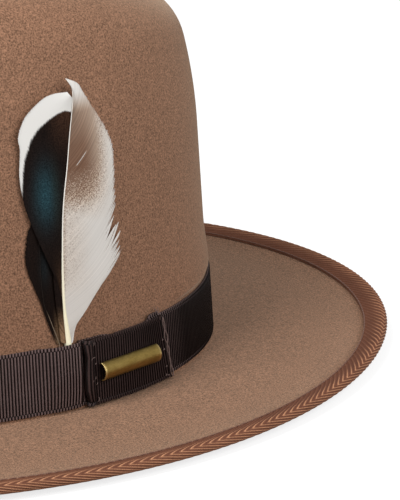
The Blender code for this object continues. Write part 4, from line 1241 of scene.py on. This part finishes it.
def make_feathers():
    """The two feathers, each on the body that slides up out of the pocket behind the band."""
    horn, dark, pale = horn_finish(), dark_barb_finish(), pale_barb_finish()
    cream, ivory = (0.92, 0.86, 0.63), (0.88, 0.84, 0.77)
    brown, black = (0.26, 0.20, 0.14), (0.012, 0.008, 0.006)
    front = Feather("front_feather", FRONT_SHAFT, FRONT_VANE_LEVEL, 11)
    front.make_quill(FRONT_QUILL_RADII, FRONT_QUILL_LEVELS, (10.0, 45.0, cream, ivory), horn,
                     "front_feather_quill")
    front.make_vane(FRONT_DARK_VANE, -1, dark_tone, dark, "feather_dark", "front_feather_dark_vane",
                    ragged=0.002)
    front.make_vane(FRONT_PALE_VANE, 1, pale_tone, pale, "feather_pale", "front_feather_pale_vane",
                    ragged=0.006, wisps=PALE_WISPS)
    rear = Feather("rear_feather", REAR_SHAFT, REAR_VANE_LEVEL, 12)
    rear.make_quill(REAR_QUILL_RADII, REAR_QUILL_LEVELS, (8.0, 14.0, brown, black), horn,
                    "rear_feather_quill")
    for outline, side, node in ((REAR_LEFT_VANE, -1, "rear_feather_left_vane"),
                                (REAR_RIGHT_VANE, 1, "rear_feather_right_vane")):
        rear.make_vane(outline, side, rear_tone, dark, "feather_dark", node,
                       ragged=0.02, arch=REAR_BARB_ARCH)


def make_sweatband():
    """The leather band against the head, its reed and the stitches that hold it."""
    half_gap = SWEATBAND_JOINT / 2 / FELT_HALF_WIDTH
    angle = np.linspace(QUARTER_TURN + half_gap, QUARTER_TURN + FULL_TURN - half_gap, 360)[:, None]
    flat = np.linspace(SWEATBAND_FLAT_INSET, SWEATBAND_HEIGHT - SWEATBAND_FLAT_INSET, 8)
    rise = np.concatenate([SWEATBAND_EDGE_ROWS, flat, SWEATBAND_HEIGHT - SWEATBAND_EDGE_ROWS[::-1]])
    edge = smooth(np.minimum(rise, SWEATBAND_HEIGHT - rise), *SWEATBAND_EDGE_ROUND)
    crease = bell(rise, SWEATBAND_HEIGHT - SWEATBAND_CREASE_INSET, SWEATBAND_CREASE_SPREAD)
    wave = np.sin(SWEATBAND_WAVES * angle + 1.0)
    slack = SWEATBAND_SLACK * wave * np.sin(math.pi * rise / SWEATBAND_HEIGHT)
    inner = HEAD_LEVEL + SWEATBAND_EDGE_THIN * (1 - edge) + SWEATBAND_CREASE_DEPTH * crease + slack
    height = SWEATBAND_BOTTOM + rise
    front = wall_at(angle, height, inner)
    back = wall_at(angle, height[::-3], SWEATBAND_LEVEL)
    strip = Shape()
    strip.sweep(np.concatenate([front, back], axis=1))
    strip.place("sweatband_strip", leather_finish(), "sweatband_leather", "sweatband")

    turn = np.linspace(0.0, FULL_TURN, 12, endpoint=False)
    angle = turn_angles(1440)[:, None]
    lap = np.where(np.abs((turn - REED_LAPS * angle) % FULL_TURN) < REED_LAP_WIDTH, REED_LAP, 0.0)
    reach = REED_RADIUS - REED_LAP + lap
    level = -FELT_THICKNESS - CLEARANCE - REED_RADIUS + reach * np.cos(turn)
    reed = Shape()
    reed.sweep(wall_at(angle, REED_LIFT + REED_RADIUS + reach * np.sin(turn), level), loop=True)
    cloth = thread_finish("reed_cloth", (0.065, 0.038, 0.028))
    reed.place("reed_tube", cloth, "reed_tape", "sweatband_reed")

    angle, share = stitch_angles(SWEATBAND_STITCHES, SWEATBAND_STITCH_GAP)
    level = HEAD_LEVEL - CLEARANCE * np.sin(math.pi * share) - SWEATBAND_STITCH_LIFT
    paths = wall_at(angle, SWEATBAND_BOTTOM + SWEATBAND_SEAM_LIFT, level)
    seam = Shape()
    seam.sweep(strands(paths, THREAD_RADIUS, np.array([0.0, 0.0, 1.0])))
    thread = thread_finish("sweatband_seam_thread", (0.26, 0.165, 0.10))
    seam.place("sweatband_stitches", thread, "leather_thread", "sweatband_thread")


def make_bow():
    """The small ribbon bow over the joint of the sweatband: two loops, two tails and a knot."""
    shape = Shape()
    middle = SWEATBAND_BOTTOM + BOW_LIFT
    face = HEAD_LEVEL - CLEARANCE
    across = np.linspace(-1.0, 1.0, 9)
    step = shares(30)[:, None]

    def strip(out, half, lift, level):
        """Add a strip of ribbon along a path."""
        place = BACK_PLACE + out
        height = middle + lift + half * across
        hollow = level + BOW_HOLLOW * across ** 2
        inside = wall(place, height, hollow - BOW_RIBBON)
        outside = wall(place, height, hollow + BOW_RIBBON)[:, ::-1]
        shape.sweep(np.concatenate([inside, outside], axis=1))

    for side in (-1, 1):
        out = side * BOW_HALF_LENGTH * np.sin(math.pi * step) ** 0.75
        half = BOW_WAIST + (BOW_HALF_HEIGHT - BOW_WAIST) * np.sin(math.pi * step) ** 0.8
        strip(out, half, 0.0, face - BOW_LOOP_GAP - BOW_LOOP_DEPTH * smooth(step, 0.3, 0.7))
        out, half, lift = (start + change * step for start, change in BOW_TAIL)
        strip(side * out, half, lift, face - BOW_TAIL_GAP)
    half_length, half_height, half_depth = BOW_KNOT
    knot = np.linspace(-1.0, 1.0, 12)[:, None]
    turn = np.linspace(0.0, FULL_TURN, 16, endpoint=False)
    size = np.sqrt(np.clip(1.02 - np.abs(knot) ** 3, 0.0, 1.0))
    height = middle + half_height * size * np.sin(turn)
    level = face - BOW_KNOT_DEPTH - half_depth * size * np.cos(turn)
    shape.sweep(wall(BACK_PLACE + half_length * knot, height, level))
    finish = ribbon_finish("bow_satin", (0.045, 0.028, 0.026), (0.080, 0.050, 0.046), 0.38)
    shape.place("bow", finish, "bow_ribbon", "sweatband_bow")


def make_lining():
    """The satin lining: a gathered strip round the side and a smooth tip that follows the crease."""
    columns = 480
    angle = turn_angles(columns)
    foot = wall_share(LINING_BOTTOM, angle)
    gap = CLEARANCE / (RIDGE_HEIGHT_SIDE - SHOULDER_RISE)
    folds = LINING_GATHER * (0.5 + 0.5 * np.sin(LINING_FOLDS * angle + 2.0 * np.sin(7 * angle)))
    rows = []
    for share in shares(40):
        place = foot + (LINING_SEAM - gap - foot) * share
        level = LINING_LEVEL - folds * smooth(share, *LINING_FOLD_SPAN)
        rows.append(crown_inside("wall", place, angle, level))
    rows = np.stack(rows)
    side = Shape()
    side.add(rows, [grid(len(rows), columns)])
    satin = satin_finish("lining_side_satin", (0.33, 0.22, 0.13))
    strip = side.place("lining_wall", satin, "lining_satin", "lining_side", thickness=LINING_WALL)

    stations = [("wall", LINING_SEAM + (1 - LINING_SEAM) * share) for share in shares(6)]
    stations += [("shoulder", share) for share in shares(9)[1:]]
    stations += [("crease", share) for share in shares(24)[1:]]
    rows = [crown_inside(zone, share, angle, LINING_LEVEL) for zone, share in stations]
    rows.append(rows[-1] * np.array([0.4, 1.0, 1.0]))
    satin = satin_finish("lining_tip_satin_cloth", (0.36, 0.24, 0.145))
    tip = creased(rows)
    cap = tip.place("lining_crown", satin, "lining_tip_satin", "lining_tip", thickness=LINING_WALL)


def make_floor():
    """A plain white floor that keeps the hat's soft shadow: it glows for the rays that show it."""
    mesh = bpy.data.meshes.new("floor")
    corners = FLOOR_REACH * np.array([(-1, -1, 0), (1, -1, 0), (-1, 1, 0), (1, 1, 0)])
    mesh.from_pydata(corners, [], [(0, 1, 3, 2)])
    floor = add_object("floor", mesh)
    floor.location.z = CAD_BOX[0].z - FLOOR_DROP
    look = Finish("pale_floor", (0.36, 0.36, 0.36), roughness=1.0, specular_ior_level=0.0,
                  emission_color=(1.0, 1.0, 1.0, 1.0))
    rays = look.node("ShaderNodeLightPath", {}).outputs
    seen = look.math("MAXIMUM", rays["Is Camera Ray"], rays["Is Glossy Ray"])
    seen = look.math("MAXIMUM", seen, rays["Is Transmission Ray"])
    glow = look.math("MULTIPLY", seen, FLOOR_GLOW)
    look.tree.links.new(glow, look.shader.inputs["Emission Strength"])
    mesh.materials.append(look.material)


def make_lights():
    """An even white world and square softboxes."""
    world = bpy.data.worlds.new("studio")
    world.use_nodes = True
    background = world.node_tree.nodes["Background"]
    background.inputs["Color"].default_value = (1.0, 1.0, 1.0, 1.0)
    background.inputs["Strength"].default_value = WORLD_STRENGTH
    bpy.context.scene.world = world
    for name, place, target, size, power in LAMPS:
        light = bpy.data.lights.new(name, "AREA")
        light.shape = "SQUARE"
        light.size = size
        light.energy = power
        lamp = add_object(name, light)
        lamp.location = place
        lamp.rotation_euler = (Vector(target) - Vector(place)).to_track_quat("-Z", "Y").to_euler()


def make_camera():
    """The camera, at the photograph's place."""
    camera = bpy.data.cameras.new("camera")
    camera.lens = CAMERA_LENS
    viewer = add_object("camera", camera)
    right = CAMERA_FORWARD.cross(CAMERA_UP)
    turned = Matrix((right, CAMERA_UP, -CAMERA_FORWARD)).transposed()
    viewer.matrix_world = Matrix.Translation(CAMERA_PLACE) @ turned.to_4x4()
    bpy.context.scene.camera = viewer
    bpy.context.scene.view_settings.view_transform = "Standard"


make_floor()
make_lights()
make_camera()
make_felt()
make_binding()
make_band()
make_keeper()
make_keeper_threads()
make_plate()
make_feathers()
make_sweatband()
make_bow()
make_lining()
